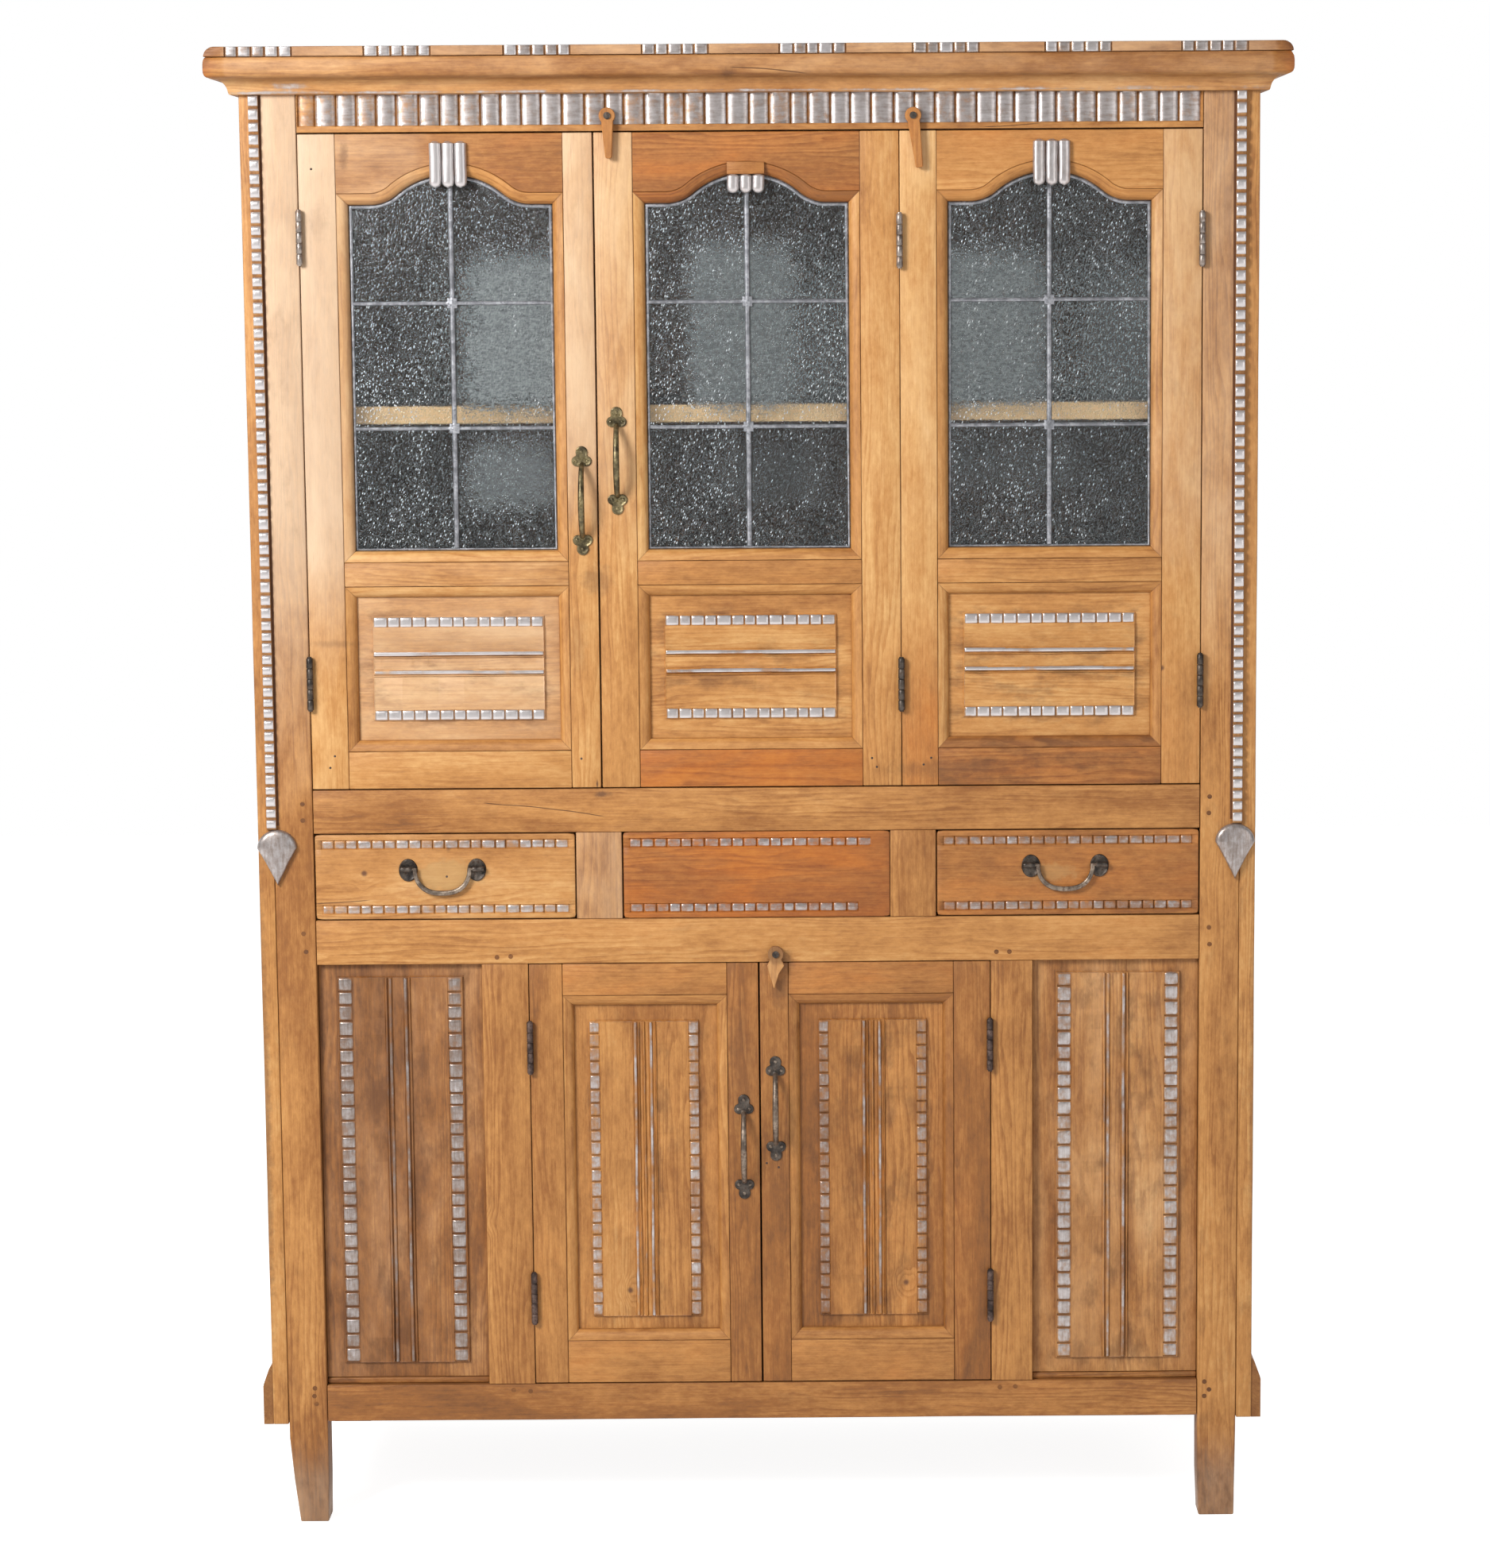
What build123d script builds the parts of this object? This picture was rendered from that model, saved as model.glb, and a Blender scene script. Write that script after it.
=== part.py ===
from build123d import *
import os
from math import atan, degrees, hypot, sin

# Trastero cabinet. Millimetres, +Z up, the front looks along -Y.
# Depths are measured backwards from the front plane of the face frame; a negative depth stands proud.

# ---- Carcase ----
post_inner = 646            # half the clear width between the front posts
post_outer = 704
side_outer = 727            # outer face of the side frames
body_depth = 560
moulding_reach = 43         # how far the cornice stands out, in front and at the sides
face_y = (moulding_reach - body_depth) / 2
post_depth = 45
face_thickness = 30
joint_line = 0.2            # hairline between boards that meet

side_bottom = 150
rail_bottom = 154
rail_top = 209
panel_bottom = 218
lower_top = 842
drawer_bottom = 908
drawer_top = 1036
upper_bottom = 1100
upper_top = 2044
cornice_bottom = 2097
cornice_top = 2149
total_height = 2163

rear_post_front = 513       # depths of the rear frame and the planks behind it
plank_front = 545
deck_thickness = 18

# ---- Openings of the face frame, as x ranges ----
left_panel_x = (-post_inner, -405)
left_stile_x = (-405, -336.5)
right_stile_x = (340.5, 402)
right_panel_x = (402, post_inner)
left_divider_x = (-264, -197)
right_divider_x = (194, 261)

# ---- Doors ----
door_thickness = 28
hinge_gap = 2.6
bevel_width = 16
bevel_depth = 10
rebate = 8                  # step behind each opening that holds the glass or the panel
glass_depth = 14.2
glass_thickness = 3
panel_depth = 12.2
panel_thickness = 10
field_height = 7            # raised field of a panel, above its flat
kerf = 0.3                  # joint lines sawn through a door frame

upper_door_z = (1102, 2041)
glass_z = (1447, 1942)      # sill and shoulder of the glass opening
upper_panel_z = (1172, 1380)
opening_half = 146
arch_flat = 31              # level part of each shoulder
arch_rise = 42
arch_small_radius = 60
bifold_axis_x = 212
left_door_x = (-post_inner + hinge_gap, -226.5)
centre_door_x = (-222.5, bifold_axis_x - hinge_gap / 2)
right_door_x = (bifold_axis_x + hinge_gap / 2, post_inner - hinge_gap)
left_glass_centre = -430
centre_glass_centre = -6.5
right_glass_centre = 427
came_levels = (1623, 1802)

lower_door_z = (211, 840)
lower_panel_z = (290, 778)
lower_left_door_x = (left_stile_x[1] + hinge_gap, -1.2)
lower_right_door_x = (3, right_stile_x[0] - hinge_gap)
lower_left_panel_x = (-271, -62)
lower_right_panel_x = (60, 270)

# ---- Hinges (three-inch butts with the barrel in front of the faces) ----
hinge_length = 76.2
leaf_thickness = 1.0
leaf_width = 22
knuckle_radius = 5.3
pin_radius = 2.4
pin_clearance = 0.05
axis_proud = 6
knuckles = 5

# ---- Carving ----
reed_count = 44
reed_depth = 6
bead_width = 14
bead_proud = 10
bead_count = 65
drop_tip = 961
drop_top = 1043
drop_thickness = 11
keystone_half = 27
flute_group_starts = (-734, -543, -346, -151, 43, 231, 418, 611)
flutes_in_group = 5
flute_pitch = 18.8

# ---- Pulls, handles and buttons ----
pull_z = 983
pull_half = 50              # half the distance between the two plates of a bail pull
bail_half = 36.5
bail_drop = 37
bail_radius = 2.8
bail_proud = 7
handle_radius = 3.6
handle_proud = 33
button_thickness = 8
button_gap = 5              # spacer between a button and the face


def front_plane(depth=0):
    """Plane of the front view at a depth: local x is X, local y is Z, the normal looks forward."""
    return Plane((0, face_y + depth, 0), x_dir=(1, 0, 0), z_dir=(0, -1, 0))


def side_plane(x):
    """Plane across X: local x is Z, local y is Y, the normal looks to -X."""
    return Plane((x, 0, 0), x_dir=(0, 0, 1), z_dir=(-1, 0, 0))


def board(x_range, z_range, front=0, back=face_thickness, mode=Mode.ADD):
    """A plain board between two x, two z and two depths."""
    centre = (sum(x_range) / 2, face_y + (front + back) / 2, sum(z_range) / 2)
    with Locations(centre):
        return Box(x_range[1] - x_range[0], back - front, z_range[1] - z_range[0], mode=mode)


def mirrored(x_range):
    return (-x_range[1], -x_range[0])


def shrunk(a_range, margin):
    return (a_range[0] + margin, a_range[1] - margin)


def scallops(plane, start, pitch, count, back, valley, crest):
    """Section along a carved strip: a flat back and a row of round beads."""
    with BuildSketch(plane) as section:
        with BuildLine():
            for index in range(count):
                left = start + index * pitch
                ThreePointArc((left, valley), (left + pitch / 2, crest), (left + pitch, valley))
            end = start + count * pitch
            Polyline((end, valley), (end, back), (start, back), (start, valley))
        make_face()
    return section.sketch


def save(part, name):
    part.part.label = name
    export_step(part.part, f"parts/{name}.step")


os.makedirs("parts", exist_ok=True)

# ---- Posts: the front ones run down as legs, with holes for the pegs of their joints ----
peg_radius = 3.4
peg_hole_radius = 3.5
peg_length = 29
left_pegs = [(-661, 1080), (-661, 1056), (-664, 889), (-661, 862), (-664, 205), (-665, 193), (-662, 181)]
right_pegs = [(660, 1082), (659, 1058), (660, 889), (661, 864), (657, 205), (664, 193), (657, 183)]
drawer_rail_pegs = [(-382, 852), (-362, 853), (349, 855), (368, 855)]
bottom_rail_pegs = [(-369, 200), (-344, 198), (353, 199), (376, 200)]

with BuildPart() as left_front_post:
    with BuildSketch(front_plane()):
        with BuildLine():
            FilletPolyline(
                (-post_inner, cornice_top), (-post_outer, cornice_top), (-post_outer, 118),
                (-689, 10), (-689, 0), (-post_inner, 0),
                radius=[0, 0, 160, 6, 8, 12], close=True)
        make_face()
    extrude(amount=-post_depth)
    with Locations(*[front_plane().from_local_coords((x, z, 0)) for x, z in left_pegs]):
        Cylinder(peg_hole_radius, 2 * face_thickness, rotation=(90, 0, 0), mode=Mode.SUBTRACT)
save(left_front_post, "left_front_post")

with BuildPart() as right_front_post:
    with BuildSketch(front_plane()):
        with BuildLine():
            FilletPolyline(
                (post_inner, cornice_top), (post_outer, cornice_top), (post_outer, 96),
                (702, 0), (post_inner + 2, 0), (post_inner, 96),
                radius=[0, 0, 300, 7, 7, 300], close=True)
        make_face()
    extrude(amount=-post_depth)
    with Locations(*[front_plane().from_local_coords((x, z, 0)) for x, z in right_pegs]):
        Cylinder(peg_hole_radius, 2 * face_thickness, rotation=(90, 0, 0), mode=Mode.SUBTRACT)
save(right_front_post, "right_front_post")

between_posts = (-post_inner + joint_line, post_inner - joint_line)
with BuildPart() as rear_frame:
    for x_range in ((-post_outer, -post_inner), (post_inner, post_outer)):
        board(x_range, (0, cornice_top), rear_post_front, plank_front - joint_line)
    for z_range in ((130, 199.8), (1000, 1081.8), (2060, cornice_top)):
        board(between_posts, z_range, rear_post_front, plank_front - joint_line)
save(rear_frame, "rear_frame")

# ---- Face frame ----
reed_z = (2053, cornice_bottom)
reed_margin = 5             # plain ends of the fluted band
with BuildPart() as frieze_rail:
    board(between_posts, (upper_top, reed_z[0]))
    board(between_posts, (reed_z[1], cornice_top))
    board(between_posts, reed_z, reed_depth)
    reed_start = -post_inner + reed_margin
    reed_pitch = -2 * reed_start / reed_count
    reeds = scallops(Plane.XY.offset(reed_z[0]), reed_start, reed_pitch, reed_count,
                     face_y + reed_depth, face_y + reed_depth - 1, face_y)
    extrude(reeds, amount=reed_z[1] - reed_z[0])
save(frieze_rail, "frieze_rail")

with BuildPart() as face_rails:
    board(between_posts, (drawer_top, upper_bottom))
    board(between_posts, (lower_top, drawer_bottom))
    board(between_posts, (rail_bottom, rail_top))
    for x_range in (left_panel_x, right_panel_x):
        # weathered sill under each fixed panel
        with BuildSketch(side_plane(x_range[1] - joint_line)):
            with BuildLine():
                Polyline((rail_top, face_y), (panel_bottom, face_y + 12),
                         (panel_bottom, face_y + face_thickness),
                         (rail_top, face_y + face_thickness), close=True)
            make_face()
        extrude(amount=x_range[1] - x_range[0] - 2 * joint_line)
    with Locations(*[front_plane().from_local_coords((x, z, 0))
                     for x, z in drawer_rail_pegs + bottom_rail_pegs]):
        Cylinder(peg_hole_radius, 2 * face_thickness, rotation=(90, 0, 0), mode=Mode.SUBTRACT)
save(face_rails, "face_rails")

with BuildPart() as face_uprights:
    for x_range in (left_divider_x, right_divider_x):
        board(x_range, shrunk((drawer_bottom, drawer_top), joint_line))
    for x_range in (left_stile_x, right_stile_x):
        board(shrunk(x_range, joint_line), shrunk((rail_top, lower_top), joint_line))
save(face_uprights, "face_uprights")

with BuildPart() as joint_pegs:
    for x, z in left_pegs + right_pegs + drawer_rail_pegs + bottom_rail_pegs:
        with Locations((x, face_y + peg_length / 2 - 0.4, z)):
            Cylinder(peg_radius, peg_length, rotation=(90, 0, 0))
save(joint_pegs, "joint_pegs")

# ---- Drawer fronts: three alike, the middle one is fixed ----
front_thickness = 22
left_front_x = (-644.5, left_divider_x[0] - 1.5)
right_front_x = (right_divider_x[1] + 1.5, 644.5)
false_front_x = (left_divider_x[1] + 1.8, right_divider_x[0] - 0.4)
drawer_z = shrunk((drawer_bottom, drawer_top), 1.5)
front_bead_z = ((917, 930), (1013, 1026))
front_bead_inset = 10
front_bead_pitch = 18.2


def drawer_front(x_range, z_range):
    """A front board with a sunk row of beads along its top and bottom."""
    with BuildPart() as front:
        board(x_range, z_range, 0, front_thickness)
        count = int((x_range[1] - x_range[0] - 2 * front_bead_inset) / front_bead_pitch)
        start = sum(x_range) / 2 - count * front_bead_pitch / 2
        for row in front_bead_z:
            board((start, start + count * front_bead_pitch), row, 0, 4, mode=Mode.SUBTRACT)
            beads = scallops(Plane.XY.offset(row[0]), start, front_bead_pitch, count,
                             face_y + 4, face_y + 3, face_y)
            extrude(beads, amount=row[1] - row[0])
    return front


save(drawer_front(false_front_x, shrunk((drawer_bottom, drawer_top), 0.5)), "false_drawer_front")
save(drawer_front(left_front_x, drawer_z), "left_drawer_front")
save(drawer_front(right_front_x, drawer_z), "right_drawer_front")

# ---- Drawer boxes ----
box_wall = 12
box_back = 480
box_z = (908.6, 1020)
box_bottom_z = (916, 923)
box_clearance = 2.5


def drawer_box(x_range):
    """Two sides, a back and a bottom, held between them."""
    outer = shrunk(x_range, box_clearance)
    with BuildPart() as box:
        for side in ((outer[0], outer[0] + box_wall), (outer[1] - box_wall, outer[1])):
            board(side, box_z, front_thickness, box_back)
        inner = shrunk(outer, box_wall + joint_line)
        board(inner, box_z, box_back - box_wall, box_back)
        board(inner, box_bottom_z, front_thickness, box_back - box_wall - joint_line)
    return box


save(drawer_box(left_front_x), "left_drawer_box")
save(drawer_box(right_front_x), "right_drawer_box")

# ---- Bail pulls: oval plates with a barrel, and a bail that hangs in the two barrels ----
plate_thickness = 2.5
barrel_radius = 4.2
barrel_inner = 41
barrel_outer = 60
bail_pin_radius = 2.2
bail_pin_reach = 10


def pull_plates(centre_x):
    with BuildPart() as plates:
        for side in (-1, 1):
            with BuildSketch(front_plane()):
                with Locations((centre_x + side * pull_half, pull_z - 2)):
                    Ellipse(12.5, 16.5)
            extrude(amount=plate_thickness)
            middle = centre_x + side * (barrel_inner + barrel_outer) / 2
            with Locations((middle, face_y - bail_proud, pull_z)):
                Cylinder(barrel_radius, barrel_outer - barrel_inner, rotation=(0, 90, 0))
            board((middle - 6, middle + 6), (pull_z - 3, pull_z + 3), -bail_proud, 0)
            with Locations((centre_x + side * barrel_inner, face_y - bail_proud, pull_z)):
                Cylinder(bail_pin_radius + pin_clearance, 2 * bail_pin_reach + 2,
                         rotation=(0, 90, 0), mode=Mode.SUBTRACT)
    return plates


def bail(centre_x):
    """A swan-shaped wire: a pin at each end, a shoulder, and a round drop."""
    plane = front_plane(-bail_proud)
    shoulder = bail_half
    with BuildPart() as wire:
        with BuildLine(plane) as path:
            FilletPolyline(
                (centre_x - barrel_inner + 0.6, pull_z), (centre_x - shoulder, pull_z),
                (centre_x - shoulder + 3, pull_z - 0.62 * bail_drop),
                (centre_x - 0.42 * shoulder, pull_z - bail_drop),
                (centre_x + 0.42 * shoulder, pull_z - bail_drop),
                (centre_x + shoulder - 3, pull_z - 0.62 * bail_drop),
                (centre_x + shoulder, pull_z), (centre_x + barrel_inner - 0.6, pull_z),
                radius=[3.2, 12, 12, 12, 12, 3.2])
        with BuildSketch(Plane(path.line @ 0, z_dir=path.line % 0)):
            Circle(bail_radius)
        sweep()
        for side in (-1, 1):
            with Locations((centre_x + side * barrel_inner, face_y - bail_proud, pull_z)):
                Cylinder(bail_pin_radius, 2 * bail_pin_reach, rotation=(0, 90, 0))
    return wire


for name, x_range in (("left", left_front_x), ("right", right_front_x)):
    centre_x = sum(x_range) / 2 - 4
    save(pull_plates(centre_x), f"{name}_drawer_pull_plates")
    save(bail(centre_x), f"{name}_drawer_bail")


# ---- Panels with a raised field ----
def panel(x_range, z_range, field_x, field_z, upright, back_depth=None):
    """A board with a raised field, two rows of beads on the field's long edges and two ridges."""
    back_depth = back_depth or panel_depth + panel_thickness
    top = panel_depth - field_height
    edge = 15                    # width of a row of beads
    with BuildPart() as carved:
        board(x_range, z_range, panel_depth, back_depth)
        with BuildSketch(front_plane(panel_depth)):
            with Locations((sum(field_x) / 2, sum(field_z) / 2)):
                Rectangle(field_x[1] - field_x[0], field_z[1] - field_z[0])
        extrude(amount=field_height - 2, taper=20)
        inner_x, inner_z = shrunk(field_x, 3), shrunk(field_z, 3)
        if upright:
            count = round((inner_z[1] - inner_z[0]) / 22)
            pitch = (inner_z[1] - inner_z[0]) / count
            for right in (inner_x[0] + edge, inner_x[1]):
                beads = scallops(side_plane(right), inner_z[0], pitch, count,
                                 face_y + top + 2, face_y + top + 1.6, face_y + top)
                extrude(beads, amount=edge)
            for x in (sum(field_x) / 2 - 14, sum(field_x) / 2 + 14):
                for offset in (-3.5, 3.5):
                    board((x + offset - 2, x + offset + 2), inner_z, top, top + 2)
        else:
            count = round((inner_x[1] - inner_x[0]) / 18.5)
            pitch = (inner_x[1] - inner_x[0]) / count
            for low in (inner_z[0], inner_z[1] - edge):
                beads = scallops(Plane.XY.offset(low), inner_x[0], pitch, count,
                                 face_y + top + 2, face_y + top + 1.6, face_y + top)
                extrude(beads, amount=edge)
            for z in (sum(field_z) / 2 - 4, sum(field_z) / 2 + 20):
                for offset in (-3.5, 3.5):
                    board(inner_x, (z + offset - 2, z + offset + 2), top, top + 2)
    return carved


fixed_margin = 0.3
with BuildPart() as lower_fixed_panels:
    fixed_z = shrunk((panel_bottom, lower_top), fixed_margin)
    for x_range, field_x in ((left_panel_x, (-619, -433)), (right_panel_x, (436, 619))):
        add(panel(shrunk(x_range, fixed_margin), fixed_z, field_x, (240, 823), True,
                  face_thickness).part)
save(lower_fixed_panels, "lower_fixed_panels")


# ---- Door frames ----
def arched_outline(centre, margin=0):
    """Glass opening: straight sides and an ogee head of two arcs a side, grown by a margin."""
    run = opening_half - arch_flat
    half_turn = atan(arch_rise / run)
    turn = degrees(2 * half_turn)
    large_radius = run / sin(2 * half_turn) - arch_small_radius
    left, shoulder = centre - opening_half, glass_z[1]
    with BuildSketch(front_plane()) as outline:
        with BuildLine():
            sill = Polyline((centre, glass_z[0]), (left, glass_z[0]), (left, shoulder),
                            (left + arch_flat, shoulder))
            hollow = JernArc(sill @ 1, (1, 0), arch_small_radius, turn)
            crown = JernArc(hollow @ 1, hollow % 1, large_radius, -turn)
            mirror(about=Plane((centre, face_y, 0), z_dir=(1, 0, 0)))
        make_face()
        if margin:
            offset(amount=margin, kind=Kind.INTERSECTION)
    return outline.sketch


def square_outline(x_range, z_range, margin=0):
    with BuildSketch(front_plane()) as outline:
        with Locations((sum(x_range) / 2, sum(z_range) / 2)):
            Rectangle(x_range[1] - x_range[0] + 2 * margin, z_range[1] - z_range[0] + 2 * margin)
    return outline.sketch


def door_frame(x_range, z_range, openings, corners):
    """Stiles, rails and bevel mouldings: a block with bevelled, rebated openings, sawn apart
    along the joint lines. openings holds pairs of outline and wider outline, corners holds the
    x range and z range of each opening for the saw cuts."""
    with BuildPart() as frame:
        board(x_range, z_range, 0, door_thickness)
        for outline, wide in openings:
            extrude(outline, amount=-door_thickness, mode=Mode.SUBTRACT)
            back = wide.moved(Location((0, panel_depth, 0)))
            extrude(back, amount=-door_thickness, mode=Mode.SUBTRACT)
        face = frame.faces().filter_by(Axis.Y).sort_by(Axis.Y)[0]
        rims = [edge for wire in face.inner_wires() for edge in wire.edges()]
        chamfer(rims, length=bevel_width, length2=bevel_depth, reference=face)
        chamfer(frame.part.edges().filter_by(Plane.XZ).group_by(Axis.Y)[0].filter_by(
            lambda e: abs(e.center().Z - z_range[0]) < 0.1 or abs(e.center().Z - z_range[1]) < 0.1
            or abs(e.center().X - x_range[0]) < 0.1 or abs(e.center().X - x_range[1]) < 0.1), 0.8)
        through = (-1, door_thickness + 1)
        opening_x = corners[0][0]
        for x in (opening_x[0] - bevel_width, opening_x[1] + bevel_width):
            board((x - kerf / 2, x + kerf / 2), z_range, *through, mode=Mode.SUBTRACT)
        for opening_x, opening_z in corners:
            for x, way_x in ((opening_x[0], -1), (opening_x[1], 1)):
                for z, way_z in ((opening_z[0], -1), (opening_z[1], 1)):
                    centre = (x + way_x * bevel_width / 2, face_y + door_thickness / 2,
                              z + way_z * bevel_width / 2)
                    with Locations(Location(centre, (0, -way_x * way_z * 45, 0))):
                        Box(hypot(bevel_width, bevel_width) + 0.2, door_thickness + 2, kerf,
                            mode=Mode.SUBTRACT)
    return frame


def glass_panes(centre):
    """Six panes, cut where the cames run."""
    with BuildPart() as glass:
        pane = arched_outline(centre, rebate - 0.5).moved(Location((0, glass_depth, 0)))
        extrude(pane, amount=-glass_thickness)
        wide = (centre - 200, centre + 200)
        for z in came_levels:
            board(wide, (z - 0.5, z + 0.5), 0, door_thickness, mode=Mode.SUBTRACT)
        board((centre - 0.5, centre + 0.5), upper_door_z, 0, door_thickness, mode=Mode.SUBTRACT)
    return glass


def cames(centre):
    """Lead strips on the face of the glass: a rim, one upright and two cross bars."""
    rim_width, bar_half = 6, 3.8
    with BuildPart() as lead:
        with BuildSketch(front_plane(glass_depth - 0.1)):
            add(arched_outline(centre, -0.4).moved(Location((0, glass_depth - 0.1, 0))))
            add(arched_outline(centre, -rim_width).moved(Location((0, glass_depth - 0.1, 0))),
                mode=Mode.SUBTRACT)
            with Locations((centre, (glass_z[0] + glass_z[1] + arch_rise) / 2)):
                Rectangle(2 * bar_half, glass_z[1] + arch_rise - glass_z[0] - 1)
            for z in came_levels:
                with Locations((centre, z)):
                    Rectangle(2 * opening_half - 1, 5)
        extrude(amount=3)
    return lead


def keystone(centre, z_range, cap_top=None):
    """Three reeds in front of the arch; the middle door's has a plain cap."""
    with BuildPart() as stone:
        reeds = scallops(Plane.XY.offset(z_range[0]), centre - keystone_half, keystone_half * 2 / 3, 3,
                         face_y - 0.2, face_y - 2, face_y - 9)
        extrude(reeds, amount=z_range[1] - z_range[0])
        if cap_top:
            board((centre - keystone_half, centre + keystone_half), (z_range[1], cap_top), -4, -0.2)
    return stone


def bow_handle(x, z_range):
    """Two trefoil plates with screws, and a bowed rod between them."""
    lobe, foot = 8.2, 24         # lobe radius, and how far a plate reaches from its end
    with BuildPart() as handle:
        for end, way in ((z_range[1], 1), (z_range[0], -1)):
            base = end - way * (lobe + 10)
            screws = [(x, end - way * lobe), (x - 9, base - way * 2), (x + 9, base - way * 2)]
            with BuildSketch(front_plane()):
                with Locations(*screws):
                    Circle(lobe * 0.86)
                with Locations((x, base)):
                    Circle(lobe)
            extrude(amount=plate_thickness)
            for screw_x, screw_z in screws:
                with Locations((screw_x, face_y - plate_thickness - 0.6, screw_z)):
                    Cylinder(2.6, 1.4, rotation=(90, 0, 0))
        top, bottom = z_range[1] - foot, z_range[0] + foot
        with BuildLine(Plane((x, 0, 0), x_dir=(0, 1, 0), z_dir=(1, 0, 0))) as path:
            ThreePointArc((face_y - 1, top), (face_y - handle_proud, (top + bottom) / 2),
                          (face_y - 1, bottom))
        with BuildSketch(Plane(path.line @ 0, z_dir=path.line % 0)):
            Circle(handle_radius)
        sweep()
        board((x - 20, x + 20), z_range, 0, 10, mode=Mode.SUBTRACT)
    return handle


# ---- Hinges ----
def leaf(axis_x, z, side, own):
    """A plate beside the gap and the knuckles that belong to it; side is -1 or 1."""
    plate_x = sorted((axis_x + side * hinge_gap / 2, axis_x + side * (hinge_gap / 2 - leaf_thickness)))
    z_range = (z - hinge_length / 2, z + hinge_length / 2)
    board(plate_x, z_range, 0.6, leaf_width)
    pitch = hinge_length / knuckles
    for index in own:
        low = z_range[0] + index * pitch
        board(plate_x, (low + 0.15, low + pitch - 0.15), -axis_proud, 0.6)
        with Locations((axis_x, face_y - axis_proud, low + pitch / 2)):
            Cylinder(knuckle_radius, pitch - 0.3)
    with Locations((axis_x, face_y - axis_proud, z)):
        Cylinder(pin_radius + pin_clearance, hinge_length + 4, mode=Mode.SUBTRACT)


def pin(axis_x, z):
    """A pin with a small head above and below the barrel."""
    with Locations((axis_x, face_y - axis_proud, z)):
        Cylinder(pin_radius, hinge_length + 1)
    for way in (-1, 1):
        with Locations((axis_x, face_y - axis_proud, z + way * (hinge_length / 2 + 0.9))):
            Cylinder(3.6, 1.6)


outer_knuckles, inner_knuckles = (0, 2, 4), (1, 3)
left_axis_x = -post_inner + hinge_gap / 2
right_axis_x = post_inner - hinge_gap / 2
lower_left_axis_x = left_stile_x[1] + hinge_gap / 2
lower_right_axis_x = right_stile_x[0] - hinge_gap / 2
left_hinge_z = (1256, 1896)
right_hinge_z = (1253, 1887)
bifold_hinge_z = (1250, 1887)
lower_hinge_z = (341, 718)


def leaves(axis_x, levels, side, own, with_pins=False):
    with BuildPart() as group:
        for z in levels:
            leaf(axis_x, z, side, own)
    if not with_pins:
        return [group.part]
    with BuildPart() as pins:
        for z in levels:
            pin(axis_x, z)
    return [group.part, pins.part]


def hinge_node(name, *groups):
    """All leaves, and the pins in them, that one body carries."""
    node = Compound(label=name, children=[solid for group in groups for part in group
                                          for solid in part.solids()])
    export_step(node, f"parts/{name}.step")


hinge_node("post_hinges",
           leaves(left_axis_x, left_hinge_z, -1, outer_knuckles, True),
           leaves(right_axis_x, right_hinge_z, 1, outer_knuckles, True),
           leaves(lower_left_axis_x, lower_hinge_z, -1, outer_knuckles, True),
           leaves(lower_right_axis_x, lower_hinge_z, 1, outer_knuckles, True))
hinge_node("left_door_hinges", leaves(left_axis_x, left_hinge_z, 1, inner_knuckles))
hinge_node("centre_door_hinges", leaves(bifold_axis_x, bifold_hinge_z, -1, inner_knuckles))
hinge_node("right_door_hinges",
           leaves(right_axis_x, right_hinge_z, -1, inner_knuckles),
           leaves(bifold_axis_x, bifold_hinge_z, 1, outer_knuckles, True))
hinge_node("lower_left_door_hinges", leaves(lower_left_axis_x, lower_hinge_z, 1, inner_knuckles))
hinge_node("lower_right_door_hinges", leaves(lower_right_axis_x, lower_hinge_z, -1, inner_knuckles))

# ---- Upper doors ----
upper_field_z = (1200, 1352)
upper_field_half = 125
for name, x_range, centre in (("left_door", left_door_x, left_glass_centre),
                              ("centre_door", centre_door_x, centre_glass_centre),
                              ("right_door", right_door_x, right_glass_centre)):
    opening_x = (centre - opening_half, centre + opening_half)
    openings = [
        (arched_outline(centre), arched_outline(centre, rebate)),
        (square_outline(opening_x, upper_panel_z), square_outline(opening_x, upper_panel_z, rebate))]
    save(door_frame(x_range, upper_door_z, openings, [(opening_x, glass_z), (opening_x, upper_panel_z)]),
         f"{name}_frame")
    field_x = (centre - upper_field_half, centre + upper_field_half)
    save(panel(shrunk(opening_x, 0.5 - rebate), shrunk(upper_panel_z, 0.5 - rebate), field_x,
               upper_field_z, False), f"{name}_panel")
    save(glass_panes(centre), f"{name}_glass")
    save(cames(centre), f"{name}_came")

save(keystone(-431, (1965, 2031)), "left_door_keystone")
save(keystone(-7, (1955, 1982), cap_top=2000), "centre_door_keystone")
save(keystone(429.5, (1963, 2029)), "right_door_keystone")

# ---- Lower doors ----
lower_field_z = (308, 755)
for name, x_range, opening_x, field_x in (
        ("lower_left_door", lower_left_door_x, lower_left_panel_x, (-250, -88)),
        ("lower_right_door", lower_right_door_x, lower_right_panel_x, (87, 247))):
    openings = [(square_outline(opening_x, lower_panel_z), square_outline(opening_x, lower_panel_z, rebate))]
    save(door_frame(x_range, lower_door_z, openings, [(opening_x, lower_panel_z)]), f"{name}_frame")
    save(panel(shrunk(opening_x, 0.5 - rebate), shrunk(lower_panel_z, 0.5 - rebate), field_x,
               lower_field_z, True), f"{name}_panel")

save(bow_handle(-247, (1440, 1597)), "left_door_handle")
save(bow_handle(-196, (1498, 1653)), "centre_door_handle")
save(bow_handle(-23, (488, 645)), "lower_left_door_handle")
save(bow_handle(24, (545, 702)), "lower_right_door_handle")

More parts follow.
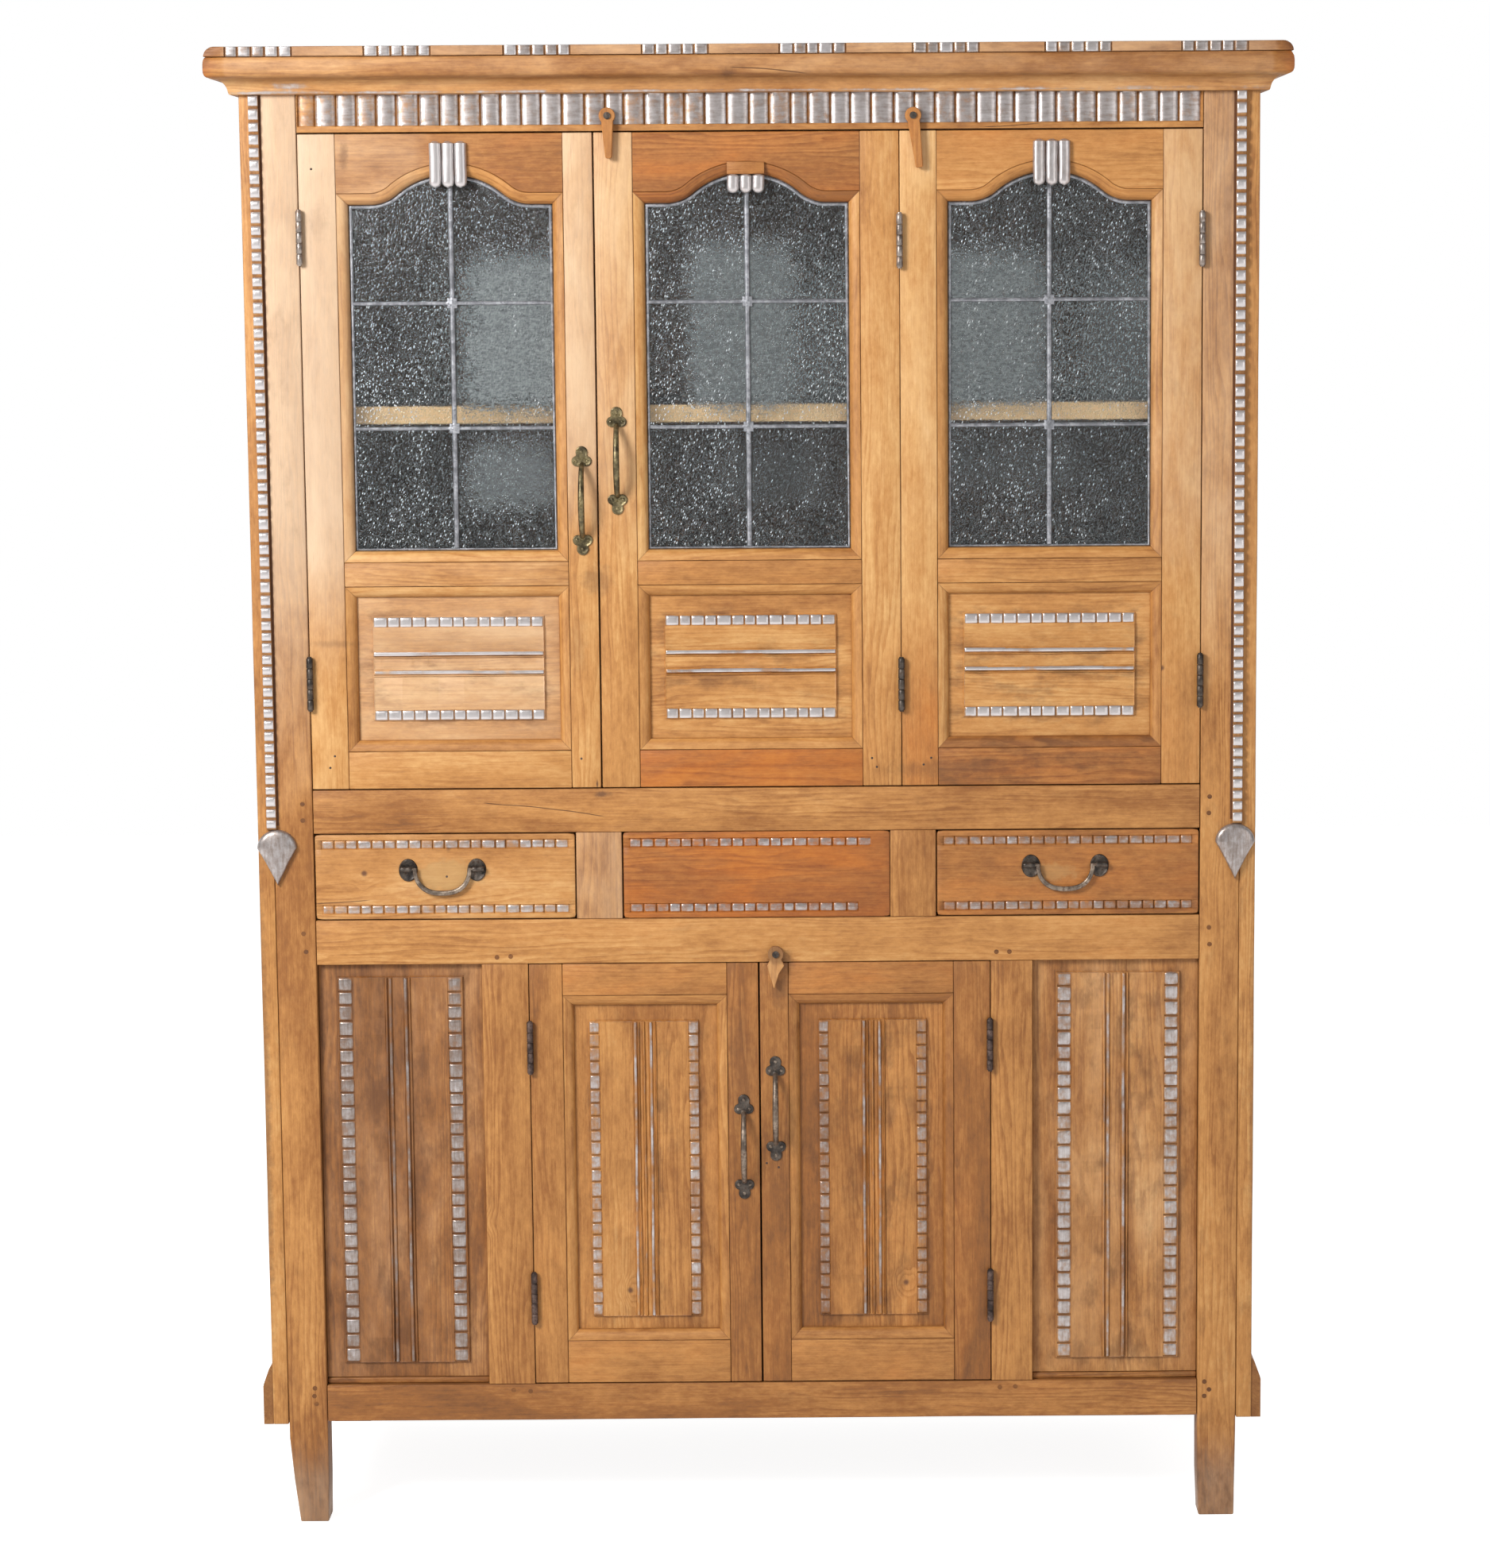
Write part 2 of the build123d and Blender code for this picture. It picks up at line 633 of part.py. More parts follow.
# ---- Turn buttons: wood, on a spacer and a screw in the rail above the door ----
screw_radius = 2.4
screw_head = 5
button_head = 11.5
top_left_pivot = (-203, 2065)
top_right_pivot = (232, 2063)
lower_pivot = (26, 855.5)


def turn_button(pivot, outline, lean=0, rounding=3):
    """A flat button of the given outline, below its pivot, chamfered and bored for its screw."""
    with BuildPart() as button:
        with BuildSketch(front_plane(-button_gap)) as shape:
            with Locations(pivot):
                Polygon(*outline, rotation=lean, align=None)
                fillet(shape.vertices(), rounding)
                Circle(button_head)
        extrude(amount=button_thickness)
        chamfer(button.faces().filter_by(Axis.Y).sort_by(Axis.Y)[0].edges(), 0.8)
        with Locations((pivot[0], face_y - button_gap - button_thickness / 2, pivot[1])):
            Cylinder(screw_radius + pin_clearance, 2 * button_thickness, rotation=(90, 0, 0),
                     mode=Mode.SUBTRACT)
    return button


tapered_tail = [(-9, 0), (-3, -60), (6, -60), (9, 0)]
pointed_tail = [(-9, 0), (-5, -74), (5, -74), (9, 0)]
spade_tail = [(-9, 0), (-8.5, -9), (-12.3, -17), (-9, -30), (-2.5, -52.5), (4, -30), (12.3, -17), (8.5, -9), (9, 0)]
save(turn_button(top_left_pivot, tapered_tail), "top_left_button")
save(turn_button(top_right_pivot, pointed_tail, lean=7), "top_right_button")
save(turn_button(lower_pivot, spade_tail, rounding=1), "lower_button")

with BuildPart() as button_screws:
    for x, z in (top_left_pivot, top_right_pivot, lower_pivot):
        with BuildSketch(front_plane(-joint_line)):
            with Locations((x, z)):
                Circle(7)
        extrude(amount=button_gap - 0.6)
        with BuildSketch(front_plane(-button_gap)):
            with Locations((x, z)):
                Circle(screw_radius)
        extrude(amount=button_thickness + 1, both=True)
        with BuildSketch(front_plane(-button_gap - button_thickness - 0.4)):
            with Locations((x, z)):
                Circle(screw_head)
        extrude(amount=1.8)
    board((-post_inner, post_inner), (0, total_height), -0.1, 60, mode=Mode.SUBTRACT)
save(button_screws, "button_screws")

# ---- Bead strips and spade drops on the posts ----
left_bead_x = (-713, -713 + bead_width)
right_bead_x = (693, 693 + bead_width)
with BuildPart() as bead_strips:
    for x_range in (left_bead_x, right_bead_x):
        beads = scallops(side_plane(x_range[1]), drop_top, (cornice_bottom - drop_top) / bead_count,
                         bead_count, face_y, face_y - bead_proud / 2, face_y - bead_proud)
        extrude(beads, amount=bead_width)
save(bead_strips, "bead_strips")

drop_half = 28.5
drop_widest = 1016
drop_rim = 7                # how far the edge of a drop stands out


def drop_outline(x, scale, proud):
    """Spade outline, scaled about the middle of its widest level, on a plane in front of the face."""
    rise, fall = scale * (drop_top - joint_line - drop_widest), scale * (drop_widest - drop_tip)
    with BuildSketch(front_plane(-proud)) as outline:
        with BuildLine():
            for half in (-scale * drop_half, scale * drop_half):
                widest = (x + half, drop_widest)
                ThreePointArc((x, drop_widest + rise), (x + 0.77 * half, drop_widest + 0.67 * rise), widest)
                ThreePointArc(widest, (x + 0.6 * half, drop_widest - 0.55 * fall), (x, drop_widest - fall))
        make_face()
    return outline.sketch


with BuildPart() as spade_drops:
    for x in (-699, 697):
        extrude(drop_outline(x, 1, 0), amount=drop_rim)
        loft([drop_outline(x, 1, drop_rim), drop_outline(x, 0.7, drop_thickness)])
save(spade_drops, "spade_drops")

# ---- Sides, back and base mouldings ----
side_x = (post_outer, side_outer)
side_stile = 60
side_rail_z = ((side_bottom, 240), (1040, 1110), (2050, cornice_top))
with BuildPart() as side_frames:
    for x_range in (side_x, mirrored(side_x)):
        for front in (0, body_depth - side_stile):
            board(x_range, (side_bottom, cornice_top), front, front + side_stile)
        for z_range in side_rail_z:
            board(x_range, z_range, side_stile + joint_line, body_depth - side_stile - joint_line)
save(side_frames, "side_frames")

with BuildPart() as side_panels:
    panel_x = (post_outer + 6, post_outer + 16)
    for x_range in (panel_x, mirrored(panel_x)):
        for z_range in ((240, 1040), (1110, 2050)):
            board(x_range, shrunk(z_range, fixed_margin), side_stile + fixed_margin,
                  body_depth - side_stile - fixed_margin)
save(side_panels, "side_panels")

base_outer = 741
with BuildPart() as base_mouldings:
    for side in (-1, 1):
        with BuildSketch(front_plane(2)):
            with BuildLine():
                FilletPolyline((side * side_outer, side_bottom), (side * base_outer, side_bottom),
                               (side * base_outer, 210), (side * (side_outer + 1), 240),
                               (side * side_outer, 240), radius=[0, 8, 5, 0, 0], close=True)
            make_face()
        extrude(amount=-(body_depth - 4))
save(base_mouldings, "base_mouldings")

plank_count = 7
with BuildPart() as back_boards:
    plank = 2 * post_outer / plank_count
    for index in range(plank_count):
        left = -post_outer + index * plank
        board(shrunk((left, left + plank), 0.4), (rail_bottom, cornice_top), plank_front, body_depth)
save(back_boards, "back_boards")

# ---- Cornice and top board ----
def cornice_section(plane, point):
    """Cove, step and bullnose; point turns an outward reach and a height into the sketch's own."""
    with BuildSketch(plane) as section:
        with BuildLine():
            Polyline(point(22, 2118), point(33, 2118.5))
            ThreePointArc(point(33, 2118.5), point(40.5, 2122), point(moulding_reach, 2130))
            Polyline(point(moulding_reach, 2130), point(moulding_reach, cornice_top - 2.5),
                     point(moulding_reach - 1.5, cornice_top - joint_line),
                     point(0, cornice_top - joint_line), point(0, cornice_bottom),
                     point(9, cornice_bottom), point(14, cornice_bottom + 4))
            ThreePointArc(point(14, cornice_bottom + 4), point(16.5, 2110.5), point(22, 2118))
        make_face()
    return section.sketch


with BuildPart() as cornice_moulding:
    front_section = cornice_section(Plane.YZ, lambda reach, z: (face_y - reach, z))
    extrude(front_section, amount=side_outer + moulding_reach, both=True)
    with BuildSketch(Plane.XY.offset(cornice_bottom)):
        with BuildLine():
            Polyline((-side_outer, face_y), (side_outer, face_y),
                     (side_outer + moulding_reach, face_y - moulding_reach),
                     (-side_outer - moulding_reach, face_y - moulding_reach), close=True)
        make_face()
    extrude(amount=cornice_top - cornice_bottom, mode=Mode.INTERSECT)
for side in (-1, 1):
    with BuildPart() as cornice_return:
        end_section = cornice_section(front_plane(body_depth),
                                      lambda reach, z: (side * (side_outer + reach), z))
        extrude(end_section, amount=body_depth + moulding_reach)
        with BuildSketch(Plane.XY.offset(cornice_bottom)):
            with BuildLine():
                Polyline((side * side_outer, face_y + kerf),
                         (side * (side_outer + moulding_reach), face_y - moulding_reach + kerf),
                         (side * (side_outer + moulding_reach), face_y + body_depth),
                         (side * side_outer, face_y + body_depth), close=True)
            make_face()
        extrude(amount=cornice_top - cornice_bottom, mode=Mode.INTERSECT)
    with cornice_moulding:
        add(cornice_return.part)
save(cornice_moulding, "cornice_moulding")

with BuildPart() as top_board:
    reach = side_outer + moulding_reach
    board((-reach, reach), (cornice_top, total_height), -moulding_reach, body_depth)
    chamfer(top_board.faces().sort_by(Axis.Z)[-1].edges(), 1.5)
    for start in flute_group_starts:
        for index in range(flutes_in_group + 1):
            x = start + index * flute_pitch
            board((x - 1, x + 1), (cornice_top, total_height), -moulding_reach, 3 - moulding_reach,
                  mode=Mode.SUBTRACT)
save(top_board, "top_board")

# ---- Inside: boards, battens and drawer guides ----
between_sides = (-post_outer + 0.3, post_outer - 0.3)
inside_front = post_depth + 1
inside_back = rear_post_front - 1
with BuildPart() as inner_boards:
    for top, front in ((panel_bottom, face_thickness), (drawer_bottom, face_thickness),
                       (upper_bottom, face_thickness), (542, inside_front), (1414, inside_front)):
        z_range = (top - deck_thickness, top)
        board(between_sides, z_range, inside_front, inside_back)
        board(between_posts, z_range, front + joint_line, plank_front - joint_line)
    seen_shelf_z = (1629, 1654)
    board(between_sides, seen_shelf_z, inside_front, inside_back)
    board(between_posts, seen_shelf_z, inside_front, plank_front - joint_line)
save(inner_boards, "inner_boards")

batten_x = (post_outer - 15, post_outer - joint_line)
with BuildPart() as inner_battens:
    for top in (panel_bottom, drawer_bottom, upper_bottom, 542, 1414, seen_shelf_z[0] + deck_thickness):
        low = top - deck_thickness
        for x_range in (batten_x, mirrored(batten_x)):
            board(x_range, (low - 20, low - joint_line), inside_front, inside_back)
    guide_z = (drawer_bottom + joint_line, drawer_bottom + 22)
    for x_range in ((-659, -644), (-266, -240), (238, 264), (644, 659)):
        board(x_range, guide_z, inside_front, 500)
    for x_range in ((-239.5, -221.5), (218.5, 236.5)):
        board(x_range, (drawer_bottom + joint_line, upper_bottom - deck_thickness - joint_line),
              face_thickness + joint_line, inside_back)
save(inner_battens, "inner_battens")
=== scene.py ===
import math

import bpy
import numpy as np
from mathutils import Matrix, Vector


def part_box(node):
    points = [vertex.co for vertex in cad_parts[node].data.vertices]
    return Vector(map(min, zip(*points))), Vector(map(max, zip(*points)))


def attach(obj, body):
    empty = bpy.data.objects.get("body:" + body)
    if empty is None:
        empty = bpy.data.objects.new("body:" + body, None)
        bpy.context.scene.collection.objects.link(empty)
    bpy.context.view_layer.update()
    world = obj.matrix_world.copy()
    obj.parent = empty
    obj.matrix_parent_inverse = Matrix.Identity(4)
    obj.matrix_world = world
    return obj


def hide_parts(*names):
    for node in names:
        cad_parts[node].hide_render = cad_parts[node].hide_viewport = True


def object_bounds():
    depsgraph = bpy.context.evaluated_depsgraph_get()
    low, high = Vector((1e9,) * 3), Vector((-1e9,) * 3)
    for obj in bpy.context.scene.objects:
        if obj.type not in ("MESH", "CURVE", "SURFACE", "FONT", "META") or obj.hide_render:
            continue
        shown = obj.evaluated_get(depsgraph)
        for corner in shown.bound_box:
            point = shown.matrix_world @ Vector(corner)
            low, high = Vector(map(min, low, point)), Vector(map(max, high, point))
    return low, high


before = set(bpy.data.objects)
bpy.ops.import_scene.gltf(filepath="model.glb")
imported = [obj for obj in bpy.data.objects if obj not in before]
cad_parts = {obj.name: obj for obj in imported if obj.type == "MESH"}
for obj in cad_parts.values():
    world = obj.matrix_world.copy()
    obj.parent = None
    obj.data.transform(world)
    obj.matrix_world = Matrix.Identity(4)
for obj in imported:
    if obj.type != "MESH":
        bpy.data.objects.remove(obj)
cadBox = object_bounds()
print("frame loaded")


def nodeBox(name):
    # corners of a node in millimetres
    return [np.array(corner) * 1000 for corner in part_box(name)]


faceY = nodeBox("face_rails")[0][1]          # front plane of the face frame; depths count backwards from it
axes = {"z": [0, 1, 2], "x": [2, 1, 0], "y": [2, 0, 1]}       # across, thick and along, by the length's axis


# shapes, in millimetres
def meshFaces(rows, cols, wrap=False):
    # four-cornered faces of a grid of points; wrap joins the last column to the first
    index = np.arange(rows * cols).reshape(rows, cols)
    if wrap:
        index = np.hstack([index, index[:, :1]])
    return np.stack([index[:-1, :-1], index[1:, :-1], index[1:, 1:], index[:-1, 1:]], -1).reshape(-1, 4)


def closedShape(points, faces, along="z", look=(0, 0, 0), leaf=0.0, seed=0, extent=None, spot=None,
                span=None):
    # a closed surface, turned outwards by the sign of its volume, and what the wood reads of it: place within
    # the board (spot), half its size (span), grain coordinates (across, thick, along) with an offset of their
    # own, and the finish: tone, warmth, grime and silver leaf
    points = np.asarray(points, float).reshape(-1, 3)
    volume = 0
    for corners in faces:
        for k in range(1, corners.shape[1] - 1):
            cross = np.cross(points[corners[:, k]], points[corners[:, k + 1]])
            volume += np.einsum("ij,ij->i", points[corners[:, 0]], cross).sum()
    if volume < 0:
        faces = [corners[:, ::-1] for corners in faces]
    if spot is None:
        low, high = extent or (points.min(0), points.max(0))
        spot = (points - (low + high) / 2)[:, axes[along]]
        span = ((high - low) / 2)[axes[along]]
    spot = np.reshape(spot, (-1, 3))
    finish = np.empty((len(points), 4))
    finish[:, :3] = look
    finish[:, 3] = np.ravel(leaf)
    return {"points": points, "faces": faces, "spot": spot, "span": np.broadcast_to(span, spot.shape),
            "grain": spot + np.random.default_rng(seed + 11).uniform(0, 4000, 3), "finish": finish}


def vary(shape, change):
    # adds (tone, warmth, grime) worked out from the points to the finish of a shape
    shape["finish"][:, :3] += np.stack(np.broadcast_arrays(*change(*shape["points"].T)), -1)
    return shape


def makePiece(name, shapes, hides, body="carcase", material=None, crease=38):
    # one mesh object from closed shapes; boards is the wood of most pieces
    starts = np.cumsum([0] + [len(s["points"]) for s in shapes])
    faces = [corners + start for s, start in zip(shapes, starts) for corners in s["faces"]]
    totals = np.concatenate([np.full(len(corners), corners.shape[1]) for corners in faces])
    mesh = bpy.data.meshes.new(name)
    mesh.vertices.add(starts[-1])
    places = np.clip(np.concatenate([s["points"] for s in shapes]) / 1000, *cadBox)
    mesh.vertices.foreach_set("co", places.ravel())
    mesh.loops.add(totals.sum())
    mesh.loops.foreach_set("vertex_index", np.concatenate([corners.ravel() for corners in faces]))
    mesh.polygons.add(len(totals))
    mesh.polygons.foreach_set("loop_start", np.cumsum(totals) - totals)
    mesh.polygons.foreach_set("use_smooth", np.ones(len(totals), bool))
    mesh.update(calc_edges=True)
    for key in ("spot", "span", "grain"):
        values = mesh.attributes.new(key, "FLOAT_VECTOR", "POINT")
        values.data.foreach_set("vector", np.concatenate([s[key] for s in shapes]).ravel() / 1000)
    values = mesh.attributes.new("finish", "FLOAT_COLOR", "POINT")
    values.data.foreach_set("color", np.concatenate([s["finish"] for s in shapes]).ravel())
    mesh.set_sharp_from_angle(angle=math.radians(crease))
    mesh.materials.append(material or boards)
    piece = bpy.data.objects.new(name, mesh)
    bpy.context.scene.collection.objects.link(piece)
    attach(piece, body)
    if hides:
        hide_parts(*hides)


def waver(t, seed, wave=420):
    # slow uneven line within about plus and minus one: three sines of unlike length
    phase = np.random.default_rng(seed).uniform(0, 2 * np.pi, 3)
    return sum(share * np.sin(2 * np.pi * t / (wave * cut) + p)
               for share, cut, p in zip((0.55, 0.3, 0.15), (1, 0.43, 0.17), phase))


def sweep(points, along="z", look=(0, 0, 0), leaf=0.0, seed=0, **more):
    # a closed profile (second axis of the points) carried along rows (first axis), closed at both ends
    rows, cols = points.shape[:2]
    end = np.arange(cols)[None]
    faces = [meshFaces(rows, cols, wrap=True), end, end[:, ::-1] + (rows - 1) * cols]
    return closedShape(points, faces, along, look, leaf, seed, **more)


def board(x, depth, z, along="z", look=(0, 0, 0), rounding=1.3, uneven=0.25, gap=0.15, seed=0, limits=None):
    # rounded bar: a rounded rectangle carried along the length, drawn in at its ends, its sides wavering;
    # limits gives the two edges across as functions of the place along
    order = axes[along]
    low, high = np.array([(x[k], faceY + depth[k], z[k]) for k in (0, 1)], float)
    middle, half = ((low + high) / 2)[order], ((high - low) / 2)[order] - (gap, 0, gap)
    r = min(rounding, 0.45 * half[0], 0.45 * half[1])
    turn = np.radians([0, 30, 60, 90])
    angle = np.concatenate([turn + q * np.pi / 2 for q in range(4)])
    ringA = np.repeat([1, -1, -1, 1], 4) * (half[0] - r) + r * np.cos(angle)
    ringB = np.repeat([1, 1, -1, -1], 4) * (half[1] - r) + r * np.sin(angle)
    step, draw = r * (1 - np.cos(turn)), r * (1 - np.sin(turn))
    inner = np.linspace(-half[2] + r, half[2] - r, max(3, int(half[2] / 30)))[1:-1]
    s = np.concatenate([-half[2] + step, inner, (half[2] - step)[::-1]]) + middle[2]
    draw = np.concatenate([draw, 0 * inner, draw[::-1]])[:, None]
    sway = [uneven * waver(s, seed + k)[:, None] for k in (1, 2, 3)]
    side = ringA / half[0]
    a = ringA * (1 - draw / half[0]) + (1 + side) / 2 * sway[0] - (1 - side) / 2 * sway[1]
    b = ringB * (1 - draw / half[1]) + 0.5 * sway[2] * np.abs(ringB) / half[1]
    if limits:
        lowA, highA = [limit(s)[:, None] for limit in limits]
        a = (lowA + highA) / 2 - middle[0] + a * (highA - lowA) / (2 * half[0])
    points = np.empty(a.shape + (3,))
    for axis, places in zip(order, (a + middle[0], b + middle[1], s[:, None])):
        points[..., axis] = places
    return sweep(points, along, look, seed=seed, extent=(low, high))


def relief(xs, zs, carve, back, along, look, seed, rounding=1.0):
    # board with a carved front: carve gives depth, silver and extra grime at each (x, z) of a grid; the rim
    # is rounded by a quarter circle and the back is flat
    gx, gz = np.meshgrid(xs, zs, indexing="ij")
    depth, leaf, grime = carve(gx, gz)
    rim = np.minimum(np.minimum(gx - xs[0], xs[-1] - gx), np.minimum(gz - zs[0], zs[-1] - gz))
    inset = np.clip(rounding - rim, 0, rounding)
    depth = depth + rounding - np.sqrt(np.maximum(rounding ** 2 - inset ** 2, 0))
    front = np.stack([gx, faceY + depth, gz], -1).reshape(-1, 3)
    index = np.arange(gx.size).reshape(gx.shape)
    loop = np.concatenate([index[:-1, 0], index[-1, :-1], index[:0:-1, -1], index[0, :0:-1]])
    rear = front[loop] * (1, 0, 1) + (0, faceY + back, 0)
    near = gx.size + np.arange(len(loop))
    far = near + len(loop)
    sides = np.stack([near, far, np.roll(far, -1), np.roll(near, -1)], -1)
    leaf = np.concatenate([leaf.ravel(), np.zeros(2 * len(loop))])
    shape = closedShape(np.concatenate([front, front[loop], rear]),
                        [meshFaces(*gx.shape), sides, far[None, ::-1]], along, look, leaf, seed)
    shape["finish"][:gx.size, 2] += grime.ravel()
    return shape


def spread(low, high, step, rim=1.2):
    # even places with a few more at both rims
    inner = np.linspace(low + rim, high - rim, max(2, int(round((high - low) / step))))
    return np.concatenate([[low, low + 0.3 * rim], inner, [high - 0.3 * rim, high]])


def eased(low, high):
    # places that lie closer together towards both ends
    return low + (high - low) * (0.5 - 0.5 * np.cos(np.linspace(0, np.pi, 9)))


def merged(*parts):
    return np.unique(np.concatenate(parts))


def beadEdges(start, pitch, count, seed):
    # edges of a row of beads, each moved a little at random
    edges = start + pitch * np.arange(count + 1.0)
    edges[1:-1] += np.random.default_rng(seed).uniform(-0.1, 0.1, count - 1) * pitch
    return edges


def beadPlaces(edges, shares=(0, 0.035, 0.12, 0.28, 0.5, 0.72, 0.88, 0.965)):
    # places along a row that catch every bead's outline and the cut beside it
    return np.append((edges[:-1, None] + np.diff(edges)[:, None] * np.array(shares)).ravel(), edges[-1])


def beadRow(t, edges, seed, flatness=6, crest=0.5, share=0.96):
    # a row of rounded beads: the root of one minus a power of the place in the bead, which fills a share of
    # its room and has its crest moved along. Each bead has a height of its own. Gives the height from 0 to 1
    # and the bead's own random number
    rng = np.random.default_rng(seed + 5)
    index = np.clip(np.searchsorted(edges, t, side="right") - 1, 0, len(edges) - 2)
    place = np.clip((t - edges[index]) / (edges[index + 1] - edges[index]), 0, 1)
    away = np.abs(2 * place ** (math.log(0.5) / math.log(crest)) - 1) / share
    height = rng.uniform(0.75, 1, len(edges) - 1)[index] * np.sqrt(np.clip(1 - away ** flatness, 0, 1))
    inside = (t >= edges[0]) & (t <= edges[-1])
    return np.where(inside, height, 0), rng.uniform(0, 1, len(edges) - 1)[index]


def crown(t, low, high, power=6):
    # one in the middle of a row and nothing at its two sides: the root of one minus a power
    return np.clip(1 - np.abs((2 * t - low - high) / (high - low)) ** power, 0, 1) ** 0.5


def band(t, low, high, soft=0.6):
    # one inside a range, nothing outside, with short slopes
    return np.clip((t - low) / soft + 0.5, 0, 1) * np.clip((high - t) / soft + 0.5, 0, 1)


def tube(path, radii, normal, around=16, flatten=1.0, seed=0):
    # an ellipse of changing radius carried along a path in the plane with this normal
    path = np.array(path, float)
    tangent = np.gradient(path, axis=0)
    tangent /= np.linalg.norm(tangent, axis=1)[:, None]
    angle = np.linspace(0, 2 * np.pi, around, endpoint=False)[:, None]
    across = np.cross(tangent, normal)[:, None]
    ring = np.cos(angle) * np.array(normal, float) * flatten + np.sin(angle) * across
    return sweep(path[:, None] + np.reshape(radii, (-1, 1, 1)) * ring, seed=seed)


def dome(x, z, outline, profile, around, depth=0.0, bumps=None, seed=0, **finish):
    # a raised form: an outline (one radius, or the radius by angle) shrunk along a profile of (share, height)
    angle = np.linspace(0, 2 * np.pi, around, endpoint=False)
    share, height = np.array(profile, float).T[..., None]
    radius = share * (outline(angle) if callable(outline) else np.full(around, outline))
    px, pz = x + radius * np.cos(angle), z + radius * np.sin(angle)
    py = faceY + depth - height - (bumps(px, pz) * (share < 0.97) if bumps else 0)
    return sweep(np.stack(np.broadcast_arrays(px, py, pz), -1), seed=seed, **finish)


# shaders
class Wire:
    # a socket that takes part in sums: each operator adds a Math node
    def __init__(self, shader, socket):
        self.shader, self.socket = shader, socket

    def out(self, name):
        return Wire(self.shader, self.socket.node.outputs[name])

    def __add__(self, other):
        return self.shader.maths("ADD", self, other)

    def __radd__(self, other):
        return self.shader.maths("ADD", other, self)

    def __sub__(self, other):
        return self.shader.maths("SUBTRACT", self, other)

    def __rsub__(self, other):
        return self.shader.maths("SUBTRACT", other, self)

    def __mul__(self, other):
        return self.shader.maths("MULTIPLY", self, other)

    def __rmul__(self, other):
        return self.shader.maths("MULTIPLY", other, self)


class Shader:
    # the emptied node tree of a material or a world
    def __init__(self, owner):
        self.owner = owner
        owner.use_nodes = True
        self.tree = owner.node_tree
        self.tree.nodes.clear()

    def node(self, kind, inputs=None, output=0, stops=(), **settings):
        made = self.tree.nodes.new("ShaderNode" + kind)
        for key, value in settings.items():
            setattr(made, key, value)
        for index, (place, colour) in enumerate(stops):
            elements = made.color_ramp.elements
            stop = elements[index] if index < len(elements) else elements.new(place)
            stop.position, stop.color = place, colour
        for key, value in (inputs or {}).items():
            if isinstance(value, Wire):
                self.tree.links.new(value.socket, made.inputs[key])
            else:
                made.inputs[key].default_value = value
        return Wire(self, made.outputs[output]) if made.outputs else None

    def maths(self, operation, a, b=0.0):
        return self.node("Math", {0: a, 1: b}, operation=operation)

    def most(self, a, b):
        return self.maths("MAXIMUM", a, b)

    def under(self, a, b):
        return self.maths("LESS_THAN", a, b)

    def over(self, a, b):
        return self.maths("GREATER_THAN", a, b)

    def vector(self, operation, *inputs, output=0):
        return self.node("VectorMath", dict(enumerate(inputs)), output, operation=operation)

    def mix(self, factor, a, b, blend="MIX"):
        return self.node("Mix", {0: factor, 6: a, 7: b}, 2, data_type="RGBA", blend_type=blend)

    def noise(self, vector, by, detail=2.0, roughness=0.5, distortion=0.0):
        # by stretches the space: cells per metre along each axis
        return self.node("TexNoise", {"Vector": self.vector("MULTIPLY", vector, by), "Scale": 1.0,
                                      "Detail": detail, "Roughness": roughness, "Distortion": distortion})

    def cells(self, vector, **inputs):
        return self.node("TexVoronoi", {"Vector": vector, **inputs}, voronoi_dimensions="2D")

    def smooth(self, value, low, high):
        return self.node("MapRange", {"Value": value, "From Min": low, "From Max": high},
                         interpolation_type="SMOOTHSTEP")

    def split(self, vector):
        parts = self.node("SeparateXYZ", {0: vector})
        return parts, parts.out("Y"), parts.out("Z")

    def first(self, colour):
        return self.node("SeparateColor", {0: colour})

    def read(self, name, output="Vector"):
        return self.node("Attribute", output=output, attribute_name=name)

    def place(self):
        return self.node("TexCoord", output="Object")

    def bump(self, height, distance, strength=1.0):
        return self.node("Bump", {"Height": height, "Distance": distance, "Strength": strength})

    def output(self, surface, kind="OutputMaterial"):
        self.node(kind, {0: surface})
        return self.owner

    def finish(self, **sockets):
        inputs = {key.replace("_", " "): value for key, value in sockets.items()}
        return self.output(self.node("BsdfPrincipled", inputs))


def newShader(name):
    return Shader(bpy.data.materials.new(name))


def paint(red, green, blue):
    # a colour given in display values from 0 to 255
    shares = np.array([red, green, blue]) / 255
    return (*np.where(shares > 0.04, ((shares + 0.055) / 1.055) ** 2.4, shares / 12.92).tolist(), 1.0)


wood = {
    "stops": [(0.0, paint(94, 54, 22)), (0.28, paint(150, 94, 40)), (0.5, paint(192, 134, 71)),
              (0.72, paint(219, 169, 106)), (1.0, paint(240, 203, 150))],
    "orange": (0.84, 0.53, 0.19, 1),            # multiplies the colour of warm wood
    "pale": paint(220, 195, 166),
    "dirt": paint(92, 56, 30),
    "knot": paint(84, 46, 28),
    "ringsPerMetre": 110,
    "seamWidth": 0.0014,
    "noSeam": 0.02,                             # distance from the edge where a node shows no seams
    "silver": paint(202, 199, 200),
    "silverShade": paint(128, 114, 105),
    # painted shade: the dark colour mixed into the inside of the closed cabinet
    "shade": paint(34, 31, 29),
    # the shelf's raw front edge, made paler than raw wood as painted light
    "rawEdgeAndLight": paint(255, 206, 146),
    "gloss": 0.5,
}


